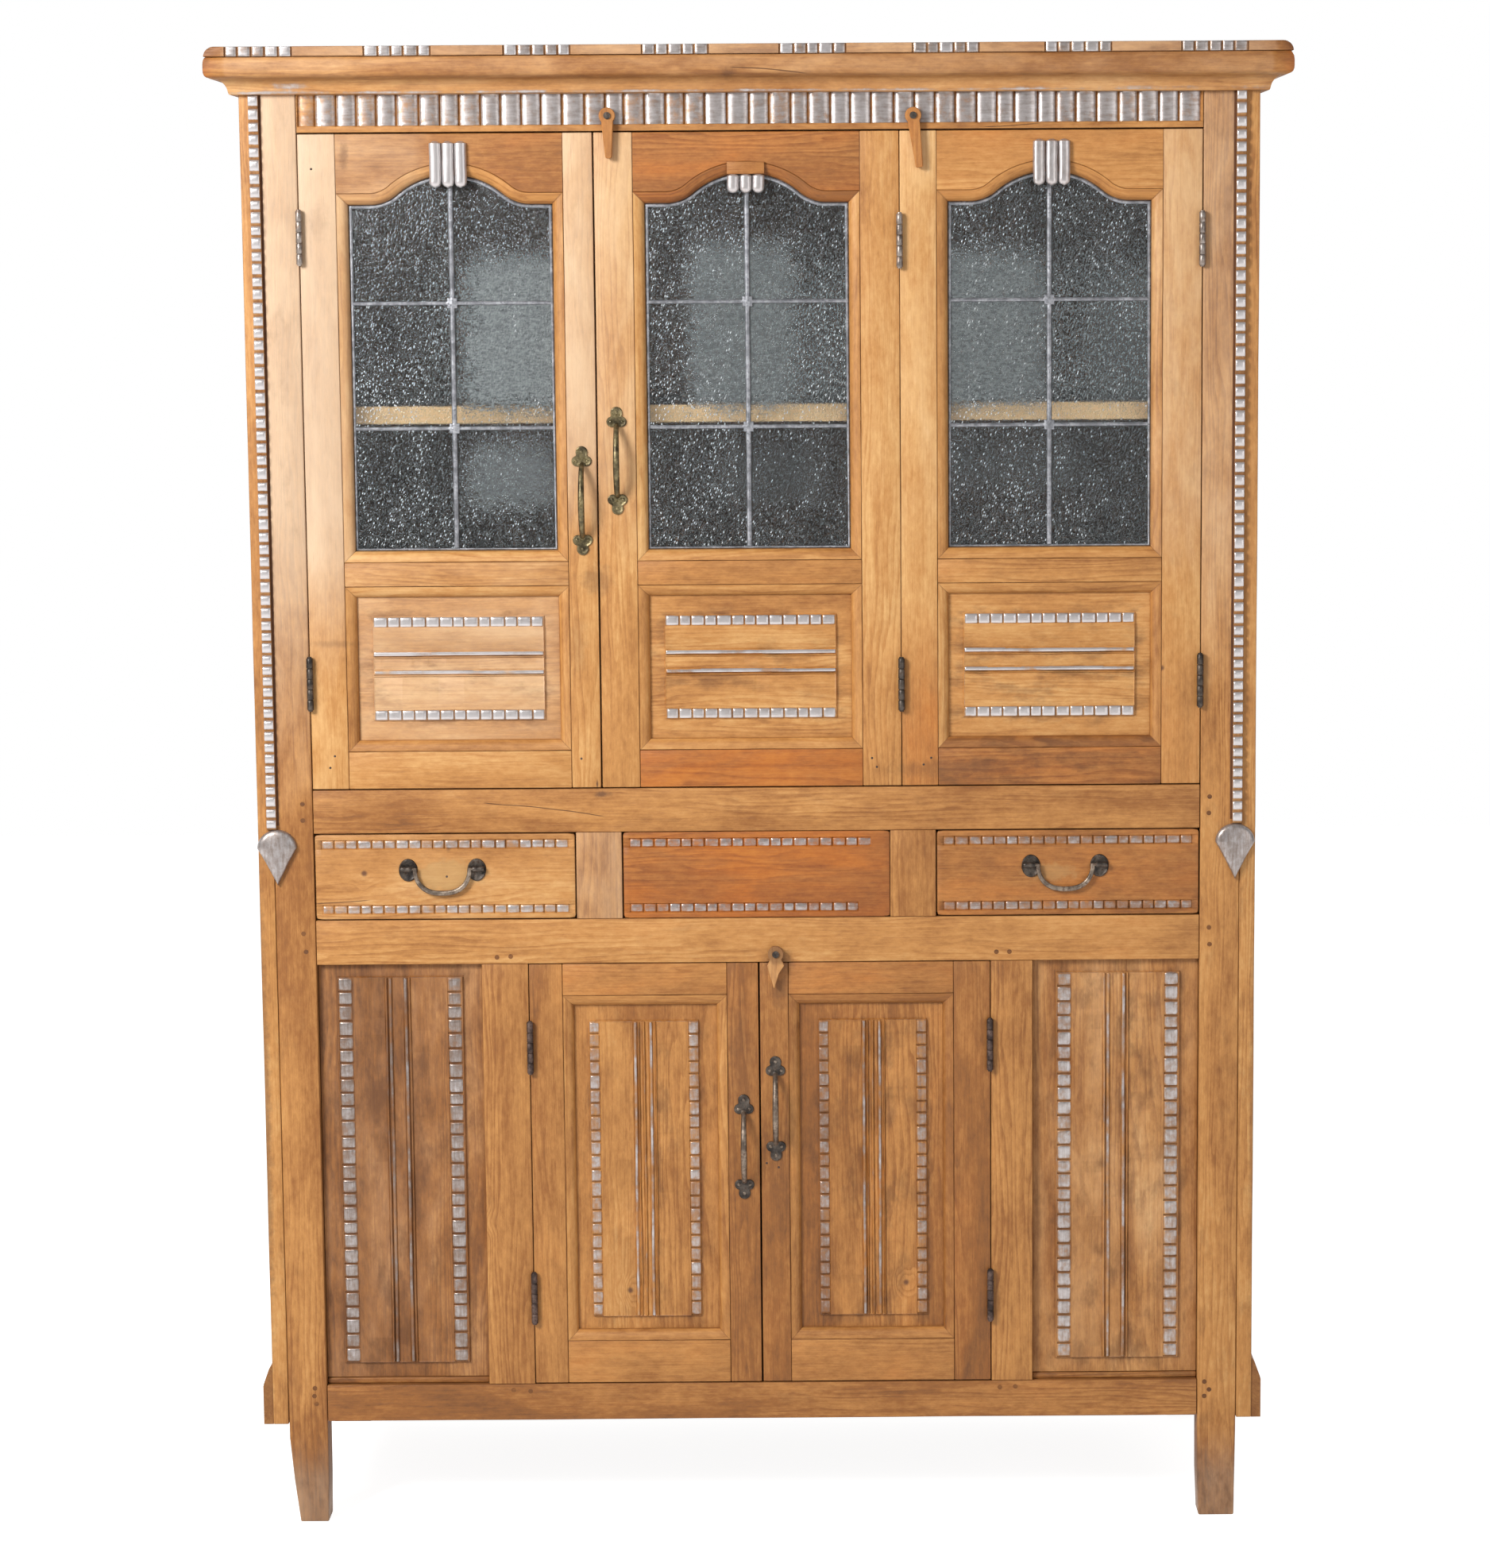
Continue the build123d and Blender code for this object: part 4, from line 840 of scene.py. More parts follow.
# ends of each fixed panel that lie at a stile, then as above
fixedPanels = ((-405.3, (-619, -433), (-0.44, -0.16, 0.55), 0.54, 640, (-0.06, 0)),
               (402.3, (436, 619), (-0.14, -0.15, 0.5), 0.5, 660, (0.04, -0.05)))
for door, (kind, *values) in doorPanels.items():
    shape = makePanel(kind, nodeBox(f"{door}_panel"), *values)
    makePiece(f"{door}.carvedPanel", [shape], (f"{door}_panel",), door)
low, high = nodeBox("lower_fixed_panels")
fixed = []
for stile, *values in fixedPanels:
    ends = (low[0], stile) if stile < 0 else (stile, high[0])
    fixed.append(makePanel("fixed", [(end, *corner[1:]) for end, corner in zip(ends, (low, high))], *values))
makePiece("fixedPanels", fixed, ("lower_fixed_panels",))
print("panels made")


openHalf = 146                               # half the width of an upper door's opening
doors = {"thickness": 28, "bevel": 16, "half": openHalf, "glassZ": (1447, 1942), "panelZ": (1172, 1380),
         "flat": 31, "rise": 42, "smallRadius": 60, "lowerPanelZ": (290, 778),
         "openings": {"lower_left_door": (-271, -62), "lower_right_door": (60, 270),
                      **{door: (centre - openHalf, centre + openHalf) for door, centre in centres.items()}},
         # how far each door is let out at its left and right, so that its joints look as tight as planed ones
         "grow": {"left_door": (1.9, 1.1), "centre_door": (1.1, 1.1), "right_door": (1.1, 1.9),
                  "lower_left_door": (1.9, 1.1), "lower_right_door": (1.1, 1.9)},
         # looks of the left and right stile, bottom rail, next rail, mouldings, and the rail over the arch
         # the left door's left stile, pale at the top, is painted light of the bright upper left
         "looks": {"left_door": ((-0.06, -0.68, 0.1), (-0.04, 0.08, 0.25), (0.03, 0.0, 0.15),
                                 (-0.16, -0.2, 0.25), (0.0, -0.1, 0.2), (-0.14, -0.28, 0.2)),
                   "centre_door": ((0.1, -0.04, 0.15), (0.14, -0.1, 0.15), (-0.14, 0.8, 0.15),
                                   (0.0, 0.25, 0.2), (0.04, 0.1, 0.2), (-0.28, 0.54, 0.25)),
                   "right_door": ((0.4, -0.18, 0.1), (0.22, -0.36, 0.3), (-0.26, 0.5, 0.7),
                                  (-0.16, 0.08, 0.3), (0.06, 0.1, 0.3), (0.0, 0.32, 0.2)),
                   "lower_left_door": ((-0.12, 0.15, 0.25), (-0.38, 0.2, 0.4), (-0.08, 0.25, 0.2),
                                       (-0.02, 0.4, 0.1), (-0.1, 0.15, 0.3)),
                   "lower_right_door": ((-0.4, 0.2, 0.4), (-0.36, 0.25, 0.35), (-0.16, 0.2, 0.3),
                                        (-0.14, 0.35, 0.2), (-0.2, 0.15, 0.35))}}
# distance from the opening and depth of the moulding's profile
bevelProfile = ((15.8, 28.0), (15.8, 1.0), (15.2, 0.35), (13.0, 0.5), (9.5, 1.3), (6.5, 2.5), (4.2, 4.0),
                (2.4, 5.9), (1.0, 8.0), (0.0, 10.6), (0.0, 28.0))


def archLine(grow, samples=14):
    # ogee head of the glass opening from right to left, grown outwards: flat, hollow arc, crown arc, mirrored
    run, small = doors["half"] - doors["flat"], doors["smallRadius"]
    turn = 2 * math.atan(doors["rise"] / run)
    big = run / math.sin(turn) - small
    flat = np.linspace(-doors["half"], -run, 5)[:-1]
    phi = np.linspace(0, turn, samples)
    psi = np.linspace(turn, 0, 2 * samples)[1:]
    x = np.concatenate([flat, -run + small * np.sin(phi), -big * np.sin(psi)])
    z = np.concatenate([0 * flat, small * (1 - np.cos(phi)), doors["rise"] - big * (1 - np.cos(psi))])
    nx = np.concatenate([0 * flat, -np.sin(phi), -np.sin(psi)])
    nz = np.concatenate([0 * flat + 1, np.cos(phi), np.cos(psi)])
    reach = np.clip((-x - run) / doors["flat"], 0, 1)
    x, z = x + nx * grow - reach * grow, z + nz * grow
    return np.concatenate([-x, x[::-1][1:]]), np.concatenate([z, z[::-1][1:]]) + doors["glassZ"][1]


def archRows(centre, lines):
    # a surface over (x, z, depth) lines, one column for each
    columns = [np.broadcast_arrays(x + centre, faceY + depth, z) for x, z, depth in lines]
    return np.stack([np.stack(column, -1) for column in columns], 1)


def bevelSweep(points, along, look, seed, t, length):
    # the bevel profile carried along a line; t is the place across it, length the way along
    wide = bevelProfile[0][0] / 2
    spot = np.stack(np.broadcast_arrays(t - wide, 0 * t, length - length[-1] / 2), -1)
    return sweep(points, along, look, seed=seed, spot=spot,
                 span=(wide, doors["thickness"] / 2, length[-1, 0] / 2))


def moulding(x, z, look, seed, sides="brlt"):
    # the bevel profile carried along sides of an opening (bottom, right, left, top), its ends mitred
    corners = [np.array(corner, float) for corner in ((x[0], z[0]), (x[1], z[0]), (x[1], z[1]), (x[0], z[1]))]
    width, depth = np.array(bevelProfile).T
    share = np.linspace(0, 1, 12)[:, None]
    shapes = []
    for side in sides:
        number = "brtl".index(side)
        a, b = corners[number], corners[(number + 1) % 4]
        length = np.linalg.norm(b - a)
        direction = (b - a) / length
        outward = np.array([direction[1], -direction[0]])
        t = width + 0.3 * waver(share * 400, seed + number, 170) * (width > 15)
        start = a + (outward - direction) * t[..., None]
        end = b + (outward + direction) * t[..., None]
        flat = start + (end - start) * share[:, :, None]
        points = np.stack(np.broadcast_arrays(flat[..., 0], faceY + depth, flat[..., 1]), -1)
        along = "x" if side in "bt" else "z"
        shapes.append(bevelSweep(points, along, look, seed + number, t, share * length))
    return shapes


def archMoulding(centre, look, seed):
    # the same profile carried along the arch
    points = archRows(centre, [(*archLine(grow), depth) for grow, depth in bevelProfile])
    t = np.array(bevelProfile)[:, 0]
    return bevelSweep(points, "x", look, seed, np.broadcast_to(t, points.shape[:2]),
                      np.linspace(0, 300, len(points))[:, None])


def topRail(centre, top, look, seed):
    # rail over the arch: a closed ring (lower edge, front, top edge, back) carried along it
    thickness, inner = doors["thickness"], doors["half"] + doors["bevel"]
    x, z = archLine(16.8)
    lines = [(*archLine(16.1), thickness), (*archLine(16.1), 0.9), (x, z, 0.1)]
    x = np.clip(x, -inner, inner)
    lines += [(x, z + (top - 1.4 - z) * share, 0.05) for share in (0.1, 0.3, 0.5, 0.75)]
    lines += [(x, top - 1.3, 0.1), (x, top - 0.3, 1.2), (x, top - 0.3, thickness)]
    points = archRows(centre, lines)
    points[..., 0] = np.clip(points[..., 0], centre - inner + 0.2, centre + inner - 0.2)
    extent = np.array([centre - inner, faceY, 1930]), np.array([centre + inner, faceY + thickness, top])
    return sweep(points, "x", look, seed=seed, extent=extent)


def below(z):
    # share of the part of an upper door below its glass
    return np.clip((1480 - z) / 260, 0, 1)


def above(z):
    # share of the part beside and over its glass
    return np.clip((z - 1380) / 200, 0, 1)


def rightOf(x):
    # share of the part of the left door's head that lies right of its keystone
    return np.clip((x + 480) / 120, 0, 1)


# tone, warmth and grime that single pieces of a door's frame gain. They are numbered left stile, right stile,
# bottom rail, middle rail, top rail, arch, four mouldings of the panel (bottom, right, left, top) and three
# of the glass
doorChanges = {
    # the left door's left stile is warmed below its glass; its pale top is painted light
    "left_door": {0: lambda x, z: (0.04 + 0.26 * below(z), 0.62 * below(z), 0),
                  1: lambda x, z: (0.1 * above(z), -0.62 * above(z), 0),
                  4: lambda x, z: (-0.1 * rightOf(x), 0.62 * rightOf(x), 0),
                  5: lambda x, z: (-0.06 * rightOf(x), 0.45 * rightOf(x), 0),
                  10: lambda x, z: (0.08, 0, 0), 12: lambda x, z: (0.22, -0.3, 0)},
    "centre_door": {0: lambda x, z: (-0.03 * below(z), 0.25 * below(z) - 0.34 * above(z), 0),
                    1: lambda x, z: (-0.12 * below(z), 0.4 * below(z), 0), 12: lambda x, z: (0.14, -0.15, 0)},
    "right_door": {0: lambda x, z: (-0.46 * below(z), 0.66 * below(z), 0),
                   1: lambda x, z: (-0.1 * below(z), 0.75 * below(z), 0), 6: lambda x, z: (-0.5, 0.25, 0.7),
                   7: lambda x, z: (-0.14, 0.1, 0), 11: lambda x, z: (0, -0.35, 0)}}


def makeDoor(door, seed):
    low, high = nodeBox(f"{door}_frame")
    grow, opening, bevel = doors["grow"][door], doors["openings"][door], doors["bevel"]
    low, high = low - (grow[0], 0, 0.6), high + (grow[1], 0, 1.3)
    leftLook, rightLook, bottomLook, nextLook, trim, *topLook = doors["looks"][door]
    panelZ, railTop = doors["lowerPanelZ"], high[2]
    if door in centres:
        panelZ, railTop = doors["panelZ"], doors["glassZ"][0] - bevel
    thick, height = (0, doors["thickness"]), (low[2], high[2])
    x0, x1 = opening[0] - bevel, opening[1] + bevel
    shapes = [board((low[0], x0), thick, height, "z", leftLook, seed=seed),
              board((x1, high[0]), thick, height, "z", rightLook, seed=seed + 10),
              board((x0, x1), thick, (low[2], panelZ[0] - bevel), "x", bottomLook, seed=seed + 20),
              board((x0, x1), thick, (panelZ[1] + bevel, railTop), "x", nextLook, seed=seed + 30)]
    if door in centres:
        shapes += [topRail(centres[door], high[2], topLook[0], seed + 40),
                   archMoulding(centres[door], topLook[0], seed + 45),
                   *moulding(opening, panelZ, trim, seed + 50),
                   *moulding(opening, doors["glassZ"], trim, seed + 60, "brl")]
    else:
        shapes += moulding(opening, panelZ, trim, seed + 40)
    for index, change in doorChanges.get(door, {}).items():
        vary(shapes[index], lambda x, y, z: change(x, z))
    makePiece(f"{door}.frame", shapes, (f"{door}_frame",), door)


for index, door in enumerate(doors["looks"]):
    makeDoor(door, 1000 + 100 * index)
print("doors made")


# levels where the pitch of the beads changes: the first 18.3 beads reach up to 1337
strip = {"beads": 60, "knee": (1337, 18.3), "width": 14, "proud": 10, "valley": 5.4, "shadow": 3.4,
         "seed": 700}


def makeStrips():
    low, high = nodeBox("bead_strips")
    knee, count = strip["knee"]
    shapes = []
    for side, x in enumerate(((low[0], low[0] + strip["width"]), (high[0] - strip["width"], high[0]))):
        seed = strip["seed"] + side
        edges = np.interp(beadEdges(0, 1, strip["beads"], seed), (0, count, strip["beads"]),
                          (low[2], knee, high[2]))

        def carve(gx, gz):
            height, own = beadRow(gz, edges, seed, 3.4, 0.66, 0.93)
            proud = (strip["proud"] - strip["valley"]) * height * (0.65 + 0.35 * crown(gx, *x))
            leaf = np.clip(height * 2.8 - 0.6, 0, 1) * (0.95 + 0.25 * own)
            return -strip["valley"] - proud, leaf, np.clip(0.9 - height * 1.6, 0, 1)

        zs = beadPlaces(edges, (0, 0.05, 0.16, 0.3, 0.46, 0.6, 0.7, 0.8, 0.89, 0.96))
        shapes.append(relief(spread(*x, 2.2, 1.6), zs, carve, -0.05, "z", (-0.1, -0.2, 0.4), seed, 1.2))
        # a thin dark board along the inner side of each strip: painted shadow, with some dirt
        inner = x[1] if side == 0 else x[0] - strip["shadow"]
        shapes.append(board((inner, inner + strip["shadow"]), (-0.4, 0.3), (low[2] + 6, high[2]), "z",
                            (-0.9, 0.2, 1.6), 0.3, 0.3, 0, seed + 5))
    makePiece("beadStrips", shapes, ("bead_strips",))


makeStrips()

drop = {"half": 28.5, "widest": 1016, "top": 1042.8, "tip": 961, "look": (-0.6, -0.2, 0.6), "silver": 0.66,
        "profile": ((1.0, 0.0), (1.0, 5.0), (0.97, 7.0), (0.9, 8.6), (0.75, 9.8), (0.5, 10.6), (0.25, 10.9),
                    (0.03, 11.0))}


def spadeOutline(angle):
    # a spade: an ellipse above the widest level, and below it a curve that pinches to the tip
    c, s = np.cos(angle), np.sin(angle)
    upper = 1 / np.sqrt((c / drop["half"]) ** 2 + (s / (drop["top"] - drop["widest"])) ** 2)
    t = np.linspace(0, 1, 200)
    edgeX = drop["half"] * np.cos(t * np.pi / 2) ** 1.25 * (1 - 0.2 * np.sin(t * np.pi))
    edgeZ = (drop["tip"] - drop["widest"]) * t ** 1.15
    theta, radius = np.arctan2(edgeZ, edgeX), np.hypot(edgeX, edgeZ)
    lower = np.interp(-np.arccos(np.clip(np.abs(c), 0, 1)), theta[::-1], radius[::-1])
    return np.where(s >= 0, upper, lower)


low, high = nodeBox("spade_drops")
drops = [dome(x, drop["widest"], spadeOutline, drop["profile"], 72, look=drop["look"], leaf=drop["silver"],
              seed=740 + index) for index, x in enumerate((low[0] + drop["half"], high[0] - drop["half"]))]
makePiece("spadeDrops", drops, ("spade_drops",), crease=60)

keystones = {"reed": 8.6, "pitch": 18, "lugHalf": 27, "lugTop": 2000,
             # middle, lower and upper end, and silver
             "left_door": (-431, 1965, 2031, 0.95), "centre_door": (-7, 1955, 1982, 0.7),
             "right_door": (429.5, 1963, 2029, 0.62)}


def makeKeystone(door, seed):
    # three reeds with a rounded foot; the centre door's have a plain lug above them
    x, z0, z1, cover = keystones[door]
    width = keystones["reed"]
    z = z0 + (z1 - z0) * np.linspace(0, 1, 22)[:, None]
    ends = np.sqrt(np.clip(1 - ((z0 + width - z) / width).clip(0) ** 2, 0, 1))
    ends = ends * np.sqrt(np.clip(1 - ((z - z1 + 3) / 3.2).clip(0) ** 2, 0, 1))
    angle = np.linspace(0, np.pi, 12)
    shapes = []
    for k in range(3):
        turn = np.cos(angle)
        px = x + keystones["pitch"] * (k - 1) + width * ends * np.sign(turn) * np.abs(turn) ** 0.8
        py = faceY - 0.2 - width * (0.3 + 0.7 * ends) * np.sin(angle) ** 0.55
        points = np.stack(np.broadcast_arrays(px + 0.3 * waver(z, seed + k, 60), py, z), -1)
        shapes.append(sweep(points, "z", (0, 0, 0.4), cover, seed + k))
    if door == "centre_door":
        half = keystones["lugHalf"]
        shapes.append(board((x - half, x + half), (-4, -0.1), (z1, keystones["lugTop"]), "x",
                            (-0.05, 0.5, 0.4), 1.5, 0.3, seed=seed + 5))
    makePiece(f"{door}.keystone", shapes, (f"{door}_keystone",), door)


for index, door in enumerate(centres):
    makeKeystone(door, 760 + 10 * index)
print("carvings made")


cornice = {"profile": ((0, 2097.2), (9.5, 2097.2), (11.5, 2098), (12.4, 2100), (13.2, 2103.5), (14.2, 2107),
                       (16.5, 2111), (20, 2115), (24, 2117.6), (29, 2118.6), (33.5, 2118.6), (35.5, 2119.6),
                       (38.8, 2120.6), (41.3, 2122.8), (42.7, 2126.5), (43, 2131), (43, 2138), (42.4, 2143.5),
                       (40.8, 2147.2), (38.5, 2148.8), (0, 2148.8)),
           "seed": 800, "sag": 2.5}              # the front piece has sunk this far at its right end


def makeCornice():
    low, high = nodeBox("cornice_moulding")
    reach, z = np.array(cornice["profile"]).T
    half = high[0] - reach.max()
    seed = cornice["seed"]
    free = z < 2148                              # what lies under the top face may sag and waver

    def worn(x, y, z):
        # darker roll and paler hollow: painted shade on the lit roll and painted light in the shaded
        # hollow; and red-brown battered ends
        ends = np.clip((np.abs(x) - half - 12) / 30, 0, 1)
        hollow = np.clip((2120 - z) / 4, 0, 1)
        return -0.26 + 0.32 * hollow - 0.1 * ends, -0.26 + 0.9 * ends * (1 - hollow), 0.35 * ends

    def wornLeaf(x, z):
        # silver left along the lower lip, and in patches near the left end
        lip = np.exp(-((z - 2099.5) / 3) ** 2) * (0.42 + 0.16 * waver(x, 3, 180))
        patch = np.exp(-((x + 655) / 40) ** 2 - ((z - 2109) / 6) ** 2) * 0.5
        return np.clip(lip + patch, 0, 0.8)

    rows = np.linspace(-1, 1, 150)[:, None]
    x = rows * (half + reach)
    y = faceY - reach + np.abs(0.5 * waver(x, seed, 260)) * (reach > 1) * (1 - np.abs(rows) ** 12)
    frontZ = z + (0.4 * waver(x, seed + 1, 340) - cornice["sag"] * np.clip(x / 700, 0, 1)) * free
    shapes = [sweep(np.stack([x, y, frontZ], -1), "x", (0.0, 0.05, 0.35), wornLeaf(x, frontZ), seed)]
    share = np.linspace(0, 1, 24)[:, None]
    for side in (-1, 1):
        y = faceY - reach + (high[1] - faceY + reach) * share
        sag = cornice["sag"] * (side > 0) * free * (1 - share)
        points = np.stack(np.broadcast_arrays(side * (half + reach), y, z - sag), -1)
        shapes.append(sweep(points, "y", (0.0, 0.1, 0.5), 0.0, seed + 5 + side))
    makePiece("cornice", [vary(shape, worn) for shape in shapes], ("cornice_moulding",))


makeCornice()

topBoard = {"groups": (-738.5, -543, -346, -151, 43, 231, 418, 611), "flutes": 5, "pitch": 18.8, "seed": 850,
            "front": -43, "deep": 3.2, "nose": 15, "noseWidth": 30}


def makeTopBoard():
    low, high = nodeBox("top_board")
    flutes, pitch, seed = topBoard["flutes"], topBoard["pitch"], topBoard["seed"]
    edges = [beadEdges(g, pitch, flutes, seed + k) for k, g in enumerate(topBoard["groups"])]
    xs = merged(spread(low[0], high[0], 25), *[beadPlaces(e) for e in edges],
                *[[e[0] - 1.2, e[-1] + 1.2] for e in edges])

    def carve(x, z):
        depth, leaf, grime = np.zeros((3,) + x.shape)
        for k, start in enumerate(topBoard["groups"]):
            height, own = beadRow(x, edges[k], seed + k, 7)
            inside = band(x, start - 0.6, start + pitch * flutes + 0.6, 1.0)
            depth += inside * topBoard["deep"] * (1 - height)
            leaf += inside * np.clip(height * 3 - 1.2, 0, 1) * (0.5 + 0.35 * own)
            grime += inside * np.clip(1.3 - height * 1.6, 0, 1)
        return topBoard["front"] + depth, leaf, grime

    shape = relief(xs, spread(low[2] + 0.1, high[2], 2.4), carve, high[1] - faceY, "x", (-0.26, -0.34, 0.55),
                   seed, 1.2)
    points, wide = shape["points"], topBoard["noseWidth"]
    over = np.clip((points[:, 2] - low[2]) / (high[2] - low[2]), 0, 1)        # ends rounded over like a nose
    ends = np.clip((np.abs(points[:, 0]) - high[0] + wide) / wide, 0, 1)
    inwards = ends * (1.2 + topBoard["nose"] * (1 - np.sqrt(np.clip(1 - over ** 2, 0, 1))))
    points[:, 0] -= np.sign(points[:, 0]) * inwards
    vary(shape, lambda x, y, z: (-0.2 * ends, 0.8 * ends, 0.3 * ends))
    makePiece("topBoard", [shape], ("top_board",))


makeTopBoard()
print("cornice made")


sides = {"frame": 60, "rails": ((150, 240), (1040, 1110), (2050, 2149)), "stiles": (150, 2149), "planks": 7,
         "panels": ((240, 1040), (1110, 2050)), "panelThickness": 10, "outside": 727,
         "moulding": ((0, 150), (14, 150), (14, 208), (12.6, 213), (5, 234), (2, 239), (0, 240))}


def makeSides():
    low, high = nodeBox("side_frames")
    wide, deep = sides["frame"], high[1] - low[1]
    inner, outer = -nodeBox("left_front_post")[0][0], sides["outside"]
    shapes, seed = [], 900
    for x in ((-outer, -inner), (inner, outer)):
        for front in (0, deep - wide):
            shapes.append(board(x, (front, front + wide), sides["stiles"], "z", (0.02, 0.05, 0.45),
                                seed=seed))
            seed += 10
        for z in sides["rails"]:
            shapes.append(board(x, (wide, deep - wide), z, "y", (0.0, 0.2, 0.4), seed=seed))
            seed += 10
    makePiece("sideFrames", shapes, ("side_frames",))

    low, high = nodeBox("side_panels")
    places = np.linspace(low[1], high[1], 4) - faceY
    shapes = []
    for x in ((-high[0], sides["panelThickness"] - high[0]), (high[0] - sides["panelThickness"], high[0])):
        for z in sides["panels"]:
            for y in zip(places[:-1], places[1:]):
                shapes.append(board(x, y, z, "z", (-0.06, 0.05, 0.55), 0.8, seed=seed))
                seed += 10
    makePiece("sidePanels", shapes, ("side_panels",))

    low, high = nodeBox("base_mouldings")
    reach, z = np.array(sides["moulding"]).T
    y = np.linspace(low[1], high[1], 20)[:, None]
    shapes = []
    for side in (-1, 1):
        points = np.stack(np.broadcast_arrays(side * (outer + reach), y, z), -1)
        shapes.append(sweep(points, "y", (-0.15, 0.1, 0.7), 0.0, seed))
        seed += 10
    makePiece("baseMouldings", shapes, ("base_mouldings",))

    low, high = nodeBox("back_boards")
    edges = np.linspace(low[0] - 0.4, high[0] + 0.4, sides["planks"] + 1)
    depth = (low[1] - faceY, high[1] - faceY)
    # the back boards' dark tone and heavy grime are painted shade of the closed inside
    shapes = [board(x, depth, (low[2], high[2]), "z", (-0.8, 0, 1.0), 1.5, 0.5, 0.1, seed + 10 * k)
              for k, x in enumerate(zip(edges[:-1], edges[1:]))]
    makePiece("backBoards", shapes, ("back_boards",))


makeSides()
print("sides made")


handles = {"left_door": (-247, (1440, 1597), "brass"), "centre_door": (-196, (1498, 1653), "brass"),
           "lower_left_door": (-23, (488, 645), "iron"), "lower_right_door": (24, (545, 702), "iron"),
           "plate": ((1.0, 0.0), (1.0, 1.4), (0.96, 2.2), (0.88, 2.3), (0.8, 1.7), (0.5, 1.6), (0.05, 1.6)),
           "screw": ((1, 1.2), (1, 2.0), (0.8, 2.6), (0.4, 2.8), (0.05, 2.8)),
           "collar": ((1, 2.0), (1, 4.6), (0.7, 5.6), (0.1, 5.8)),
           "lobes": ((0, 9.6, 8.6), (-6.9, -3.4, 7.6), (6.9, -3.4, 7.6)), "core": 9.6,
           "plateHalf": 18.2, "bowInset": 26, "bowRise": 26, "bowRadius": 3.8}


def trefoil(way):
    # radius by angle of a three-lobed plate: how far each ray reaches in the lobes; way turns it over
    def outline(angle):
        reach = np.full(angle.shape, handles["core"])
        for cx, cz, r in handles["lobes"]:
            along = cx * np.cos(angle * way) + cz * np.sin(angle * way)
            room = r * r - cx ** 2 - cz ** 2 + along ** 2
            reach = np.maximum(reach, np.where(room > 0, along + np.sqrt(np.maximum(room, 0)), 0))
        return reach
    return outline


def makeHandle(door, seed):
    # two plates with three screws and a collar each, and a bow that swells in the middle
    x, (z0, z1), metal = handles[door]
    shapes, screws = [], []
    for end, way in ((z1, 1), (z0, -1)):
        base = end - way * handles["plateHalf"]
        shapes.append(dome(x, base, trefoil(way), handles["plate"], 60, seed=seed))
        for sx, sz in ((x, base + way * 9.8), (x - 8.2, base - way * 3.6), (x + 8.2, base - way * 3.6)):
            screws.append(dome(sx, sz, 2.5, handles["screw"], 14, seed=seed))
        shapes.append(dome(x, base - way * 8.6, 4.6, handles["collar"], 20, seed=seed))
    t = np.linspace(0, 1, 33)
    z = z0 + handles["bowInset"] + (z1 - z0 - 2 * handles["bowInset"]) * t
    y = faceY - 2.4 - handles["bowRise"] * np.sin(np.pi * t) ** 0.6
    radii = handles["bowRadius"] + 0.8 * np.sin(np.pi * t ** 0.8) ** 1.2
    bow = tube(np.stack([np.full(t.shape, x), y, z], -1), radii, (1, 0, 0), seed=seed)
    slot, plates, rod = {"brass": ("aged_brass", brass, brass), "iron": ("iron", iron, wornIron)}[metal]
    makePiece(f"{door}.handle", shapes, (f"{door}_handle",), door, plates, 50)
    makePiece(f"{door}.handleBow", [bow, *screws], (f"{door}_handle",), door, rod, 50)


for index, door in enumerate(("left_door", "centre_door", "lower_left_door", "lower_right_door")):
    makeHandle(door, 2000 + index)

pull = {"z": 984, "half": 50, "proud": 7, "swing": 40, "dropBy": 38, "oval": (13.6, 16.6), "plateZ": 982,
        "plate": ((1.0, 0.0), (1.0, 1.6), (0.93, 2.6), (0.84, 2.3), (0.76, 1.4), (0.4, 1.4), (0.05, 1.4)),
        "bosses": (10.5, -9.5), "eye": (44.5, 61)}


